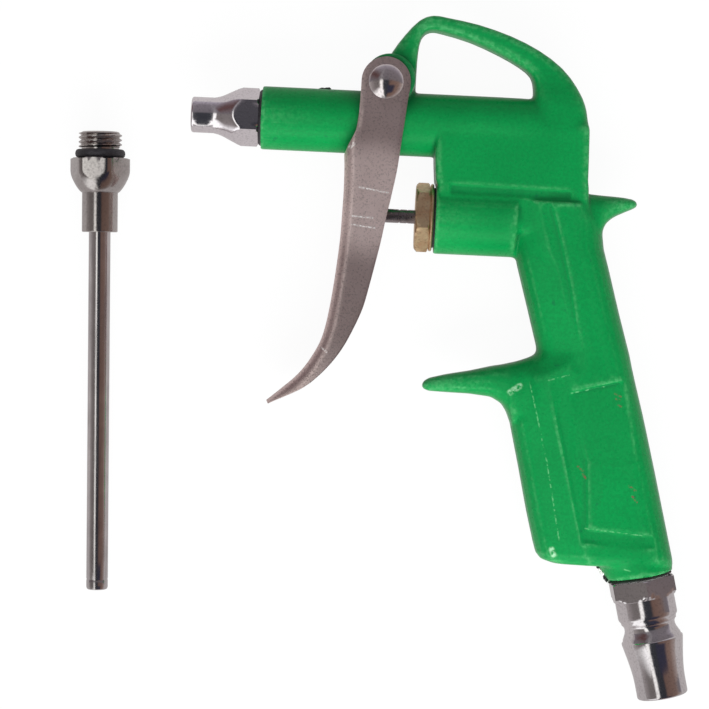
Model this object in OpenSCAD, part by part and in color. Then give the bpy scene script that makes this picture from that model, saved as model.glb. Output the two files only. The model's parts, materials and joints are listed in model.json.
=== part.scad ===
// Air duster: a cast pistol-shaped body with a hang loop, a pressed trigger lever on a rivet,
// a screw-in valve cartridge, a short nozzle, an inlet plug and a loose extension nozzle.
// The gun lies on its side: the barrel runs along X with its muzzle towards -X, the hang loop
// points to +Y, and the rivet that carries the lever stands along Z. Millimetres.

/* [Barrel] */
// Outer diameter of the barrel
barrel_d = 17.4; // [16:0.1:18]
// Distance from the rivet to the muzzle, along the barrel
barrel_reach = 33.8; // [30:0.1:45]
// Diameter of the air bore along the barrel
air_bore_d = 6; // [4:0.1:7]
// Depth of the threaded nozzle socket
socket_len = 12; // [11:0.1:16]
// Thread diameter of the nozzles
nozzle_thread_d = 12; // [11:0.1:12.5]

/* [Valve housing] */
// Outer diameter of the valve housing
valve_d = 19.8; // [19:0.1:21]
// Distance from the barrel's axis down to the valve's axis
valve_drop = 25.4; // [24:0.1:28]
// Distance from the rivet back to the housing's front face
valve_face = 15.2; // [14.8:0.1:18]
// Length of the round housing under the head
valve_len = 22.5; // [20:0.1:24]
// Thread diameter of the valve cartridge
gland_thread_d = 14; // [13.4:0.1:14.6]
// Thread length of the valve cartridge
gland_thread_len = 9; // [7:0.1:10]
// Diameter of the smooth bore behind the cartridge's thread
cartridge_bore_d = 12.2; // [11.6:0.1:12.6]
// Diameter of the spring chamber
chamber_d = 10.8; // [10.2:0.1:11.2]
// Length of the spring chamber
chamber_len = 16.6; // [15:0.1:17]

/* [Head and hang loop] */
// Distance from the rivet to the back of the head
head_len = 56.5; // [54:0.1:60]
// Thickness of the head's flat plate
head_t = 16.8; // [15.6:0.1:17]
// Height of the hang loop above the barrel's axis
loop_rise = 30.1; // [28:0.1:36]
// Thickness of the loop's bar
loop_t = 9.4; // [7:0.1:11]
// Radius of the cast edges of the plate
cast_edge = 1.5; // [0.8:0.1:2]

/* [Pivot] */
// Distance from the barrel's axis up to the rivet
pivot_rise = 10.4; // [9.8:0.1:12]
// Diameter of the lug that carries the rivet
lug_d = 14; // [13:0.1:15]
// Width of the lug between the lever's ears
lug_w = 18; // [17.8:0.1:18.2]
// Diameter of the rivet's shank
rivet_d = 4; // [3:0.1:5]
// Diameter of the rivet's domed head
rivet_head_d = 9.5; // [8:0.1:10.5]
// Height of the domed head
rivet_head_h = 2.1; // [1.5:0.1:3]
// Height of the peened tail
rivet_tail_h = 1; // [0.6:0.1:1.4]

/* [Grip] */
// Distance from the barrel's axis down to the grip's lower end
grip_drop = 118.9; // [110:0.1:130]
// Distance from the rivet back to the grip's rear lower corner
grip_reach = 85.6; // [84:0.1:88]
// Thickness of the grip at its sides
grip_t = 19.2; // [18:0.1:20.5]
// Thickness of the grip where its front rounding starts
grip_front_t = 16.4; // [13:0.1:17.6]
// Depth of the rounding at the grip's front
grip_nose = 4.6; // [3:0.1:6]
// Depth of the rounding at the grip's back
grip_back = 7; // [5:0.1:9]
// Depth of the shallow channels cast into both sides
channel_depth = 0.5; // [0.3:0.05:0.8]
// Depth of the sloping panel at its upper end; it runs out at its foot
panel_depth = 0.85; // [0.5:0.05:1]
// Thickness of the finger spur at the grip
finger_spur_t = 14.6; // [11:0.1:16]
// Thickness of the spur behind the head
rear_spur_t = 14.4; // [11:0.1:16]
// Diameter of the inlet boss
boss_d = 18; // [17.4:0.1:19]
// Rake of the air passage from straight down
grip_rake = 13.3; // [12.8:0.1:13.8]
// Diameter of the air passage in the grip
passage_d = 8; // [6:0.1:9]

/* [Trigger lever] */
// Thickness of the lever's sheet
lever_sheet = 1.4; // [1:0.1:1.6]
// Height of the lever's outline, from its datum down to its tip
lever_drop = 90.5; // [84:0.1:96]
// Height of that datum above the rivet
lever_datum_rise = 1.7; // [1:0.1:2.4]
// Distance from the rivet forward to the lever's tip
lever_reach = 29.3; // [26:0.1:33]
// Diameter of the rounded ears
ear_d = 13.4; // [12:0.1:14.4]
// Outer bend radius of the sheet
lever_bend = 3; // [2:0.1:4]
// Side play between an ear and the lug
lever_play = 0.2; // [0.1:0.05:0.3]

/* [Short nozzle] */
// Length of the nozzle in front of the muzzle
nozzle_len = 19.3; // [17:0.1:24]
// Diameter of the nozzle's round end
nozzle_tip_d = 9.8; // [8:0.1:11]
// Length of the nozzle's round end
nozzle_tip_len = 6.1; // [4:0.1:8]
// Width across the flats of the nozzle's hexagon
nozzle_hex_af = 14; // [13.8:0.1:15]
// Length of the nozzle's hexagon
nozzle_hex_len = 5.8; // [4:0.1:7]
// Diameter of the nozzle's outlet
outlet_d = 3; // [1.5:0.1:4]
// Length of the nozzle's thread
nozzle_shank_len = 9.5; // [8:0.1:10.5]

/* [Valve cartridge] */
// Width across the flats of the cartridge's hexagon
gland_hex_af = 17; // [16.4:0.1:17.6]
// Length of the cartridge's hexagon
gland_hex_len = 4.4; // [3.5:0.1:5]
// Thickness of the gasket behind the hexagon
gasket_t = 1; // [0.6:0.1:1.4]
// Diameter of the valve stem
stem_d = 3.8; // [3.4:0.1:4]
// Diameter of the cartridge's flow bore
flow_bore_d = 6; // [5.6:0.1:6.4]
// Length of the cartridge's neck, where the air leaves it
neck_len = 7.2; // [6:0.1:8]
// Length of the cartridge's end flange
flange_len = 3; // [2.8:0.1:3.6]
// Diameter of the poppet
poppet_d = 9.2; // [8.8:0.1:9.6]
// Diameter of the spring's wire
spring_wire_d = 0.8; // [0.5:0.05:0.9]
// Mean diameter of the spring
spring_d = 7.9; // [7.8:0.1:8.4]
// Number of turns of the spring
spring_turns = 6; // [4:1:7]

/* [Inlet plug] */
// Width across the flats of the plug's hexagon
plug_hex_af = 17; // [16:0.1:18]
// Length of the plug's hexagon
plug_hex_len = 6.2; // [5:0.1:7]
// Length of the whole plug below the boss
plug_len = 33.8; // [30:0.1:37]
// Diameter of the collar under the hexagon
plug_collar_d = 16.4; // [15:0.1:17]
// Diameter of the locking groove
plug_neck_d = 14; // [13:0.1:15]
// Diameter of the shoulder below the locking groove
plug_shoulder_d = 17; // [16:0.1:18]
// Diameter of the straight end of the plug
plug_nose_d = 14; // [13:0.1:15]
// Diameter of the plug's bore
plug_bore_d = 8; // [6:0.1:9]
// Thread diameter of the inlet
inlet_thread_d = 13.1; // [12.5:0.1:13.5]
// Thread length of the inlet
inlet_thread_len = 11; // [9:0.1:13]

/* [Extension nozzle] */
// Length of the tube outside its sleeve
ext_tube_len = 99.8; // [80:0.1:110]
// Diameter of the tube
ext_tube_d = 6; // [5:0.1:7]
// Wall of the tube
ext_wall = 1; // [0.5:0.1:1.5]
// Width across the flats of the extension's hexagon
ext_hex_af = 15; // [14:0.1:16]
// Length of the straight part of the hexagon
ext_hex_len = 3.8; // [3:0.1:5]
// Length of the rounded shoulder below the hexagon
ext_dome_len = 5.6; // [4:0.1:7]
// Diameter of the sleeve
ext_sleeve_d = 9.9; // [9:0.1:11]
// Length of the sleeve
ext_sleeve_len = 11.1; // [8:0.1:14]
// Length of the extension's visible thread
ext_thread_len = 4.4; // [3.5:0.1:6]
// Distance from the rivet forward to the extension
ext_offset = 78.2; // [74:0.1:80]
// Distance from the barrel's axis down to the extension's hexagon
ext_start = 13; // [5:0.1:20]
// Turn of the extension from the direction of Y
ext_turn = 1.95; // [0:0.05:3]
// Turn of the hexagon about the extension's own axis
ext_roll = 16; // [0:1:30]

/* [Fits] */
// Radial clearance of threads, brazed tubes and the rivet in the lug
seat_fit = 0.03; // [0.02:0.01:0.05]
// Radial clearance of turning and sliding pieces
run_fit = 0.06; // [0.04:0.01:0.08]
// Gap between faces that touch in use but belong to different moving pieces
face_gap = 0.05; // [0.02:0.01:0.1]

/* [Hidden] */
round_fn = 64;
hex_sides = 6;
hex_point = 60;
// Turn of the cartridge's hexagon once it is screwed tight
gland_turn = -10;
// Overrun of a cut past the face that it opens
over = cast_edge / 3;

// Colours of the finishes
green_paint = [0.02, 0.58, 0.28];
chromed = [0.78, 0.77, 0.76];
nickel = [0.56, 0.52, 0.50];
yellow_zinc = [0.66, 0.53, 0.30];
black_rubber = [0.08, 0.08, 0.09];
white_tape = [0.92, 0.92, 0.90];

// The barrel's muzzle and the valve's stations, from the rivet line
muzzle_x = -barrel_reach;
ring_cord = barrel_d * 0.1;
ring_pocket = ring_cord * 0.63;
ring_pocket_d = nozzle_thread_d + 2 * ring_cord + 4 * run_fit;
thread_end_x = valve_face + gland_thread_len;
neck_end_x = thread_end_x + neck_len;
flange_end_x = neck_end_x + flange_len;
seat_lip = flange_len * 0.1;
seat_x = flange_end_x + seat_lip;
chamber_x = flange_end_x + seat_fit;
chamber_end_x = chamber_x + chamber_len;
barrel_bore_end = head_len - barrel_d / 2;
drilling_d = air_bore_d * 0.66;
// The slanted drilling runs from the cartridge's neck up to the end of the air bore
drilling_run = [
    barrel_bore_end - drilling_d / 2 - (thread_end_x + neck_end_x) / 2,
    valve_drop - cartridge_bore_d * 0.2
];

// The inlet's axis: it runs through the boss's end face, down and back
boss_end = [grip_reach * 0.895, -grip_drop * 1.0205];
inlet_dir = [sin(grip_rake), -cos(grip_rake)];
boss_wall_len = grip_drop * 0.055;
tape_t = plug_hex_len * 0.145;

// The lever's half width, and where its ears stand
ear_in = lug_w / 2 + lever_play;
ear_out = ear_in + lever_sheet;

// The extension lies on its hexagon's edge and on the end of its tube
ext_hex_r = ext_hex_af / 2 / cos(hex_point / 2);
ext_low_r = ext_hex_r * cos(hex_point / 2 - ext_roll);
ext_neck_len = ext_thread_len * 0.66;
ext_total = ext_hex_len + ext_dome_len + ext_sleeve_len + ext_tube_len;
ext_tilt = atan((ext_low_r - ext_tube_d / 2) / (ext_total - ext_hex_len));
ext_axis_z = ext_tube_d / 2 * cos(ext_tilt) + ext_total * sin(ext_tilt);

// The whole object's box, which puts its origin under its middle
plug_side_x = boss_end[0] + plug_len * sin(grip_rake) + plug_nose_d / 2 * cos(grip_rake);
plug_low_y = boss_end[1] - plug_len * cos(grip_rake) - plug_nose_d / 2 * sin(grip_rake);
ext_low_x = -ext_offset - ext_hex_r * cos(ext_roll) * cos(ext_turn);
middle = [(plug_side_x + ext_low_x) / 2, (loop_rise + plug_low_y) / 2];
rest_z = ear_out + face_gap + rivet_tail_h;

// Outlines, as shares of the sizes that they follow
// Loop rows: outer x, outer y, inner x, inner y, thickness
loop_shares = [
    [-0.070, 0.330, 0.147, 0.200, 1.15],
    [0.020, 0.640, 0.148, 0.455, 1.05],
    [0.081, 0.808, 0.151, 0.650, 1.00],
    [0.150, 0.950, 0.165, 0.795, 1.00],
    [0.215, 1.000, 0.205, 0.858, 1.00],
    [0.290, 0.985, 0.265, 0.848, 1.00],
    [0.440, 0.936, 0.405, 0.780, 1.00],
    [0.600, 0.846, 0.545, 0.672, 1.00],
    [0.740, 0.726, 0.645, 0.575, 1.02],
    [0.855, 0.575, 0.703, 0.490, 1.10],
    [0.935, 0.395, 0.720, 0.390, 1.30],
    [0.985, 0.205, 0.722, 0.270, 1.58],
    [0.998, -0.020, 0.722, 0.060, 1.74]
];
// Head corners: x from the valve housing's face to head_len, y of valve_drop
head_shares = [
    [-0.023, 0.070], [-0.021, -0.370], [-0.010, -0.600], [0.005, -0.660], [0.005, -1.130],
    [0.631, -1.130], [1.007, -0.900], [1.007, -0.640], [0.999, -0.540], [0.997, 0.070]
];
// Grip rows: y of grip_drop, front x and rear x and crease x of grip_reach, thickness
grip_shares = [
    [-0.168, 0.400, 0.690, 0.470, 1.00],
    [-0.205, 0.412, 0.719, 0.480, 1.00],
    [-0.240, 0.424, 0.722, 0.490, 1.00],
    [-0.270, 0.436, 0.728, 0.500, 1.00],
    [-0.313, 0.449, 0.746, 0.535, 1.00],
    [-0.420, 0.492, 0.788, 0.578, 1.00],
    [-0.513, 0.528, 0.827, 0.616, 1.00],
    [-0.540, 0.500, 0.836, 0.575, 1.00],
    [-0.572, 0.455, 0.848, 0.512, 1.00],
    [-0.648, 0.447, 0.878, 0.530, 1.00],
    [-0.686, 0.452, 0.892, 0.542, 1.00],
    [-0.778, 0.483, 0.925, 0.578, 1.00],
    [-0.881, 0.516, 0.961, 0.617, 1.00],
    [-0.950, 0.541, 0.985, 0.642, 1.00],
    [-0.978, 0.553, 0.995, 0.655, 0.97],
    [-0.992, 0.570, 0.997, 0.670, 0.90],
    [-1.000, 0.605, 0.985, 0.690, 0.78]
];
// Finger spur rows: x of grip_reach, top y and bottom y of grip_drop, thickness
finger_spur_shares = [
    [0.560, -0.505, -0.715, 0.90],
    [0.500, -0.526, -0.712, 1.00],
    [0.456, -0.538, -0.690, 1.00],
    [0.438, -0.541, -0.657, 0.98],
    [0.420, -0.545, -0.637, 0.94],
    [0.385, -0.550, -0.623, 0.86],
    [0.316, -0.563, -0.618, 0.72],
    [0.235, -0.575, -0.617, 0.54],
    [0.184, -0.585, -0.616, 0.38],
    [0.169, -0.592, -0.612, 0.26],
    [0.162, -0.600, -0.607, 0.10]
];
// Rear spur rows: x of grip_reach, top y and bottom y of grip_drop, thickness
rear_spur_shares = [
    [0.828, -0.161, -0.164, 0.12],
    [0.824, -0.155, -0.168, 0.36],
    [0.812, -0.150, -0.173, 0.56],
    [0.785, -0.147, -0.182, 0.74],
    [0.752, -0.145, -0.194, 0.86],
    [0.728, -0.144, -0.210, 0.92],
    [0.708, -0.143, -0.243, 0.97],
    [0.668, -0.141, -0.262, 1.00],
    [0.600, -0.138, -0.260, 0.90]
];
// Channel corners on both sides: x of grip_reach, y of grip_drop
head_channel_shares = [
    [0.220, -0.139], [0.606, -0.142], [0.606, -0.166], [0.494, -0.166], [0.473, -0.162],
    [0.220, -0.161]
];
grip_channel_shares = [
    [0.493, -0.164], [0.540, -0.164], [0.578, -0.253], [0.619, -0.370], [0.652, -0.494],
    [0.660, -0.550], [0.637, -0.552], [0.624, -0.494], [0.577, -0.367], [0.537, -0.253]
];
panel_channel_shares = [
    [0.564, -0.573], [0.628, -0.559], [0.634, -0.603], [0.694, -0.760], [0.707, -0.915],
    [0.888, -0.922], [0.938, -0.925], [0.938, -0.951], [0.689, -0.945], [0.657, -0.854],
    [0.617, -0.738], [0.585, -0.647]
];
// Corners of the sloping panel, x of grip_reach and y of grip_drop, and where its floor runs out
sloping_panel_shares = [
    [0.632, -0.603], [0.743, -0.581], [0.950, -0.541], [0.990, -0.768], [0.692, -0.757]
];
panel_foot_share = 0.774;
// Lever rows below the web's upper edge: front x and y, back x and y, width
lever_shares = [
    [-0.358, -0.2430, 0.188, -0.1500, 1.00],
    [-0.350, -0.2830, 0.142, -0.2750, 1.00],
    [-0.347, -0.3550, 0.099, -0.3600, 1.00],
    [-0.352, -0.4200, 0.061, -0.4220, 1.00],
    [-0.358, -0.4870, 0.027, -0.4880, 1.00],
    [-0.375, -0.5570, -0.012, -0.5500, 1.00],
    [-0.399, -0.6330, -0.060, -0.6220, 1.00],
    [-0.424, -0.6960, -0.118, -0.6990, 1.00],
    [-0.456, -0.7570, -0.210, -0.7720, 0.99],
    [-0.496, -0.8040, -0.297, -0.8270, 0.97],
    [-0.557, -0.8450, -0.393, -0.8720, 0.93],
    [-0.635, -0.8850, -0.509, -0.9140, 0.86],
    [-0.724, -0.9190, -0.630, -0.9480, 0.77],
    [-0.833, -0.9510, -0.770, -0.9730, 0.64],
    [-0.940, -0.9810, -0.905, -0.9940, 0.42],
    [-0.985, -0.9930, -0.965, -1.0040, 0.24]
];
// Ear corners: front edge and back edge, x and y as above
ear_front_shares = [
    [-0.228, -0.0240], [-0.229, -0.0510], [-0.231, -0.0810], [-0.236, -0.1280],
    [-0.247, -0.1640], [-0.253, -0.1930], [-0.254, -0.2300], [-0.252, -0.2700]
];
ear_back_shares = [
    [0.133, -0.2820], [0.160, -0.2120], [0.188, -0.1420], [0.210, -0.0700], [0.226, -0.0220]
];
// Nozzle flare rows: x back from the round end, radius above the round end
flare_shares = [
    [0, 0], [0.18, 0.12], [0.35, 0.30], [0.52, 0.46], [0.68, 0.64], [0.85, 0.88], [1, 1]
];

// Smooth curve through the rows of a table, with extra rows between them
function spline_row(a, b, c, d, t) =
    0.5 * (2 * b + (c - a) * t + (2 * a - 5 * b + 4 * c - d) * t * t
        + (3 * b - a - 3 * c + d) * t * t * t);
function smooth_rows(rows, steps) = [
    for (i = [0 : len(rows) - 2])
        for (s = [0 : steps - 1])
            spline_row(rows[max(i - 1, 0)], rows[i], rows[i + 1],
                rows[min(i + 2, len(rows) - 1)], s / steps),
    rows[len(rows) - 1]
];
function scaled_points(shares, sx, sy) = [for (p = shares) [p[0] * sx, p[1] * sy]];
function unit2(v) = v / norm(v);
function backwards(list) = [for (i = [len(list) - 1 : -1 : 0]) list[i]];

// Points of a polygon moved inwards by d; the outline runs clockwise or counter as turn says
function side_normal(a, b, turn) = turn * unit2([a[1] - b[1], b[0] - a[0]]);
function inset_points(pts, d, turn) = [
    for (i = [0 : len(pts) - 1])
        let (
            n = len(pts),
            before = side_normal(pts[(i + n - 1) % n], pts[i], turn),
            after = side_normal(pts[i], pts[(i + 1) % n], turn)
        )
        pts[i] + d * (before + after) / (1 + before * after)
];

// A closed skin over rings of points. Its first and last ring are capped across, from each
// point to the one that mirrors it in the ring's order
module skin(rings) {
    n = len(rings[0]);
    last = (len(rings) - 1) * n;
    polyhedron(
        points = [for (ring = rings) each ring],
        faces = [
            for (j = [0 : n / 2 - 2])
                let (k = n - 1 - j)
                each [
                    [k, k - 1, j + 1], [k, j + 1, j],
                    [last + j + 1, last + k - 1, last + k], [last + j, last + j + 1, last + k]
                ],
            for (i = [0 : len(rings) - 2])
                for (j = [0 : n - 1])
                    let (a = i * n + j, b = i * n + (j + 1) % n)
                    each [[a, b, b + n], [a, b + n, a + n]]
        ]
    );
}

// A flat plate with rounded cast edges, centred on its own thickness
module cast_plate(pts, thickness, edge, steps = 3) {
    half = thickness / 2;
    turns = [for (k = [0 : steps]) 90 * k / steps];
    lower = [for (k = [steps : -1 : 0])
        [-half + edge - edge * sin(turns[k]), edge * (1 - cos(turns[k]))]];
    upper = [for (k = [0 : steps])
        [half - edge + edge * sin(turns[k]), edge * (1 - cos(turns[k]))]];
    skin([for (level = backwards(concat(lower, upper)))
        [for (p = inset_points(pts, level[1], 1)) [p[0], p[1], level[0]]]]);
}

// A prism along X, Y or the inlet's axis
module along_x(x, y = 0) {
    translate([x, y, 0]) rotate([0, 90, 0]) children();
}
module along_inlet(s) {
    translate([boss_end[0] + inlet_dir[0] * s, boss_end[1] + inlet_dir[1] * s, 0])
        rotate([0, 0, grip_rake]) rotate([90, 0, 0]) children();
}
module in_gun_frame() {
    translate([-middle[0], -middle[1], rest_z]) children();
}
module rod(d, h) {
    cylinder(d = d, h = h, $fn = round_fn);
}
module ring(outer_d, inner_d, h) {
    rotate_extrude($fn = round_fn)
        translate([inner_d / 2, 0]) square([(outer_d - inner_d) / 2, h]);
}
module o_ring(inner_d, cord) {
    rotate_extrude($fn = round_fn)
        translate([(inner_d + cord) / 2, 0]) circle(d = cord, $fn = round_fn / 2);
}
// A hexagonal prism whose corners are turned down at the ends, by shares of the corners' height
module hexagon(af, h, low_share, high_share) {
    corner_r = af / 2 / cos(hex_point / 2);
    corner_h = corner_r - af / 2;
    slope = tan(hex_point / 2);
    intersection() {
        cylinder(r = corner_r, h = h, $fn = hex_sides);
        rotate_extrude($fn = round_fn)
            polygon([
                [0, 0], [corner_r - low_share * corner_h, 0],
                [corner_r, low_share * corner_h * slope],
                [corner_r, h - high_share * corner_h * slope],
                [corner_r - high_share * corner_h, h], [0, h]
            ]);
    }
}

// The lofted forms of the casting
function oval_ring(x, top, bottom, thickness, sides = 16) = [
    for (k = [0 : sides - 1])
        let (
            a = 360 * k / sides,
            c = cos(a),
            s = sin(a),
            square_share = 0.78
        )
        [x, (top + bottom) / 2 + (top - bottom) / 2 * sign(c) * pow(abs(c), square_share),
            thickness / 2 * sign(s) * pow(abs(s), square_share)]
];
module spur(rows, thickness) {
    skin([for (row = rows)
        oval_ring(row[0] * grip_reach, row[1] * grip_drop, row[2] * grip_drop,
            row[3] * thickness)]);
}
function bar_ring(outer, inner, thickness, sides = 16) = [
    for (k = [0 : sides - 1])
        let (
            a = 360 * k / sides + 180 / sides,
            c = cos(a),
            s = sin(a),
            square_share = 0.55,
            across = sign(c) * pow(abs(c), square_share),
            mid = (outer + inner) / 2 + (outer - inner) / 2 * across
        )
        [mid[0], mid[1], -thickness / 2 * sign(s) * pow(abs(s), square_share)]
];
module hang_loop() {
    skin([for (row = smooth_rows(loop_shares, 2))
        bar_ring([row[0] * head_len, row[1] * loop_rise],
            [row[2] * head_len, row[3] * loop_rise], row[4] * loop_t)]);
}
function grip_ring(y, front, rear, crease, share) =
    let (
        side = grip_t / 2 * share,
        front_side = grip_front_t / 2 * share,
        nose = [for (k = [1 : 4]) [front + grip_nose * (1 - cos(k * 90 / 4)),
            front_side * 0.9 * sin(k * 90 / 4)]],
        back = [for (k = [0 : 5]) [rear - grip_back * (1 - sin(k * 90 / 6)),
            side * cos(k * 90 / 6)]],
        upper = concat(nose, [[crease, front_side], [crease + grip_nose, side]], back),
        n = len(upper)
    )
    concat([[front, y, 0]],
        [for (k = [0 : n - 1]) [upper[k][0], y, upper[k][1]]],
        [[rear, y, 0]],
        [for (k = [n - 1 : -1 : 0]) [upper[k][0], y, -upper[k][1]]]);
module grip() {
    skin([for (row = grip_shares)
        grip_ring(row[0] * grip_drop, row[1] * grip_reach, row[2] * grip_reach,
            row[3] * grip_reach, row[4])]);
}
module side_channel(shares, thickness) {
    for (side = [0, 1])
        mirror([0, 0, side])
            translate([0, 0, thickness / 2 - channel_depth])
                linear_extrude(height = channel_depth + over)
                    polygon(scaled_points(shares, grip_reach, grip_drop));
}

module sloping_panel() {
    top_y = sloping_panel_shares[0][1] * grip_drop;
    foot_y = -panel_foot_share * grip_drop;
    for (side = [0, 1])
        mirror([0, 0, side])
            translate([0, foot_y, grip_t / 2])
                rotate([-atan(panel_depth / (top_y - foot_y)), 0, 0])
                    linear_extrude(height = panel_depth + over)
                        translate([0, -foot_y])
                            polygon(scaled_points(sloping_panel_shares, grip_reach, grip_drop));
}

module barrel() {
    taper_x = head_len * 0.7;
    along_x(muzzle_x) rod(barrel_d, barrel_reach + taper_x);
    along_x(taper_x - over)
        cylinder(d1 = barrel_d * 0.98, d2 = head_t * 0.9, h = head_len * 0.25, $fn = round_fn);
}
// The lug is round, and its metal stands a little above and behind the rivet
module lug() {
    translate([lug_d * 0.07, pivot_rise + lug_d * 0.065, -lug_w / 2]) rod(lug_d, lug_w);
    translate([-lug_d * 0.4, 0, -barrel_d / 2 * 0.9])
        cube([lug_d * 0.8, pivot_rise, barrel_d * 0.9]);
}
module inlet_boss() {
    hull() {
        along_inlet(-boss_wall_len) rod(boss_d, boss_wall_len);
        along_inlet(-boss_wall_len)
            translate([-boss_d * 0.16, 0, 0]) rod(boss_d * 0.92, boss_wall_len * 0.2);
    }
    along_inlet(-boss_wall_len * 2.4) rod(boss_d * 0.97, boss_wall_len * 1.6);
}
module body_bores() {
    // Nozzle socket, seal pocket and air bore, drilled from the muzzle
    along_x(muzzle_x - over) rod(nozzle_thread_d + 2 * run_fit, socket_len + over);
    along_x(muzzle_x - over) rod(ring_pocket_d, ring_pocket + over);
    along_x(muzzle_x) rod(air_bore_d, barrel_reach + barrel_bore_end);
    // Valve bores, from the housing's face
    along_x(valve_face - over, -valve_drop)
        rod(gland_thread_d + 2 * seat_fit, gland_thread_len + over);
    along_x(valve_face, -valve_drop) rod(cartridge_bore_d, chamber_x - valve_face);
    along_x(valve_face, -valve_drop) rod(chamber_d, chamber_end_x - valve_face);
    // Slanted drilling from the valve up to the air bore
    translate([barrel_bore_end - drilling_d / 2, 0, 0])
        rotate([0, 0, atan2(drilling_run[1], drilling_run[0])])
            along_x(-norm(drilling_run)) rod(drilling_d, norm(drilling_run));
    // Inlet thread and the passage up the grip
    along_inlet(-inlet_thread_len) rod(inlet_thread_d + 2 * seat_fit, inlet_thread_len + over);
    passage_len = (boss_end[1] + valve_drop) / -cos(grip_rake);
    along_inlet(-passage_len - passage_d / 4) rod(passage_d, passage_len + passage_d / 4);
    // Hole for the rivet
    translate([0, pivot_rise, -lug_w / 2 - over]) rod(rivet_d + 2 * seat_fit, lug_w + 2 * over);
}
module gun_body() {
    color(green_paint) in_gun_frame()
        difference() {
            union() {
                barrel();
                along_x(valve_face, -valve_drop) rod(valve_d, valve_len);
                translate([valve_face, 0, 0])
                    cast_plate(scaled_points(head_shares, head_len - valve_face, valve_drop),
                        head_t, cast_edge);
                hang_loop();
                lug();
                grip();
                spur(finger_spur_shares, finger_spur_t);
                spur(rear_spur_shares, rear_spur_t);
                inlet_boss();
            }
            body_bores();
            side_channel(head_channel_shares, head_t);
            side_channel(grip_channel_shares, grip_t);
            side_channel(panel_channel_shares, grip_t);
            sloping_panel();
        }
}

// A screw-in nozzle: round end, flare, hexagon and threaded shank
module short_nozzle() {
    hex_x = muzzle_x - (ring_cord - ring_pocket) - face_gap;
    tip_x = muzzle_x - nozzle_len;
    flare_len = nozzle_len + tip_gap() - nozzle_tip_len - nozzle_hex_len;
    flare_r = nozzle_hex_af / 2 * 0.98;
    tip_r = nozzle_tip_d / 2;
    flare_x = tip_x + nozzle_tip_len;
    edge = nozzle_tip_d * 0.05;
    color(chromed) in_gun_frame()
        difference() {
            union() {
                along_x(tip_x)
                    rotate_extrude($fn = round_fn)
                        polygon(concat(
                            [[0, 0], [tip_r - edge, 0], [tip_r, edge]],
                            [for (row = flare_shares)
                                [tip_r + row[1] * (flare_r - tip_r),
                                    nozzle_tip_len + row[0] * flare_len]],
                            [[flare_r, hex_x - tip_x - edge], [0, hex_x - tip_x - edge]]
                        ));
                along_x(hex_x - nozzle_hex_len) rotate([0, 0, hex_point / 2])
                    hexagon(nozzle_hex_af, nozzle_hex_len, 0.9, 0.6);
                along_x(hex_x - edge) rod(nozzle_thread_d, nozzle_shank_len + edge);
            }
            along_x(tip_x - over) rod(outlet_d, nozzle_len + nozzle_shank_len + 2 * over);
            along_x(flare_x) rod(air_bore_d, nozzle_len + nozzle_shank_len);
        }
}
function tip_gap() = -(ring_cord - ring_pocket) - face_gap;
module nozzle_o_ring() {
    color(black_rubber) in_gun_frame()
        along_x(muzzle_x + ring_pocket - ring_cord / 2 - seat_fit)
            o_ring(nozzle_thread_d + 2 * seat_fit, ring_cord);
}

// The pressed lever: two ears on the rivet and a channel section that runs out to a tip
function bend_points(depth, half, bend, sheet) =
    concat([[depth, half]], [
        for (k = [0 : 4])
            let (a = k * 90 / 4, reach_share = 0.96 - 0.04 * k)
            [min(sheet + bend * (1 - sin(a)), depth * reach_share), half - bend * (1 - cos(a))]
    ]);
function across(points) = [for (p = points) [p[0], -p[1]]];
function lever_ring(front, back, half) =
    let (
        depth = max(norm(back - front), lever_sheet),
        dir = unit2(back - front),
        bend = min(lever_bend, half * 0.8),
        inner_bend = max(bend - lever_sheet, lever_sheet / 4),
        outer = bend_points(depth, half, bend, 0),
        inner = bend_points(depth, half - lever_sheet, inner_bend, lever_sheet)
    )
    [for (p = concat(outer, backwards(across(outer)), across(inner), backwards(inner)))
        let (at = front + dir * p[0])
        [at[0], at[1] + pivot_rise + lever_datum_rise, p[1]]];
module lever_channel() {
    skin([for (row = backwards(smooth_rows(lever_shares, 2)))
        lever_ring([row[0] * lever_reach, row[1] * lever_drop],
            [row[2] * lever_reach, row[3] * lever_drop], row[4] * ear_out)]);
}
module trigger_lever() {
    color(nickel) in_gun_frame()
        difference() {
            union() {
                lever_channel();
                for (side = [0, 1])
                    mirror([0, 0, side]) translate([0, pivot_rise, ear_in + face_gap / 2]) {
                        linear_extrude(height = lever_sheet - face_gap)
                            translate([0, lever_datum_rise])
                                polygon(concat(
                                    scaled_points(ear_front_shares, lever_reach, lever_drop),
                                    scaled_points(ear_back_shares, lever_reach, lever_drop)
                                ));
                        rod(ear_d, lever_sheet - face_gap);
                    }
            }
            translate([0, pivot_rise, -ear_out - over])
                rod(rivet_d + 2 * run_fit, 2 * (ear_out + over));
        }
}

// Dome of a given diameter and height, standing on Z = 0
module dome(d, h) {
    ball_r = (d * d / 4 + h * h) / (2 * h);
    rotate_extrude($fn = round_fn)
        intersection() {
            translate([0, h - ball_r]) circle(r = ball_r, $fn = round_fn * 2);
            square([d, h]);
        }
}
module pivot_rivet() {
    head_z = ear_out + face_gap;
    color(nickel) in_gun_frame() translate([0, pivot_rise, 0]) {
        translate([0, 0, -head_z]) rod(rivet_d, 2 * head_z);
        translate([0, 0, head_z]) dome(rivet_head_d, rivet_head_h);
        translate([0, 0, -head_z - rivet_tail_h])
            cylinder(d1 = rivet_d * 1.5, d2 = rivet_d * 1.8, h = rivet_tail_h, $fn = round_fn);
    }
}

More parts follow.
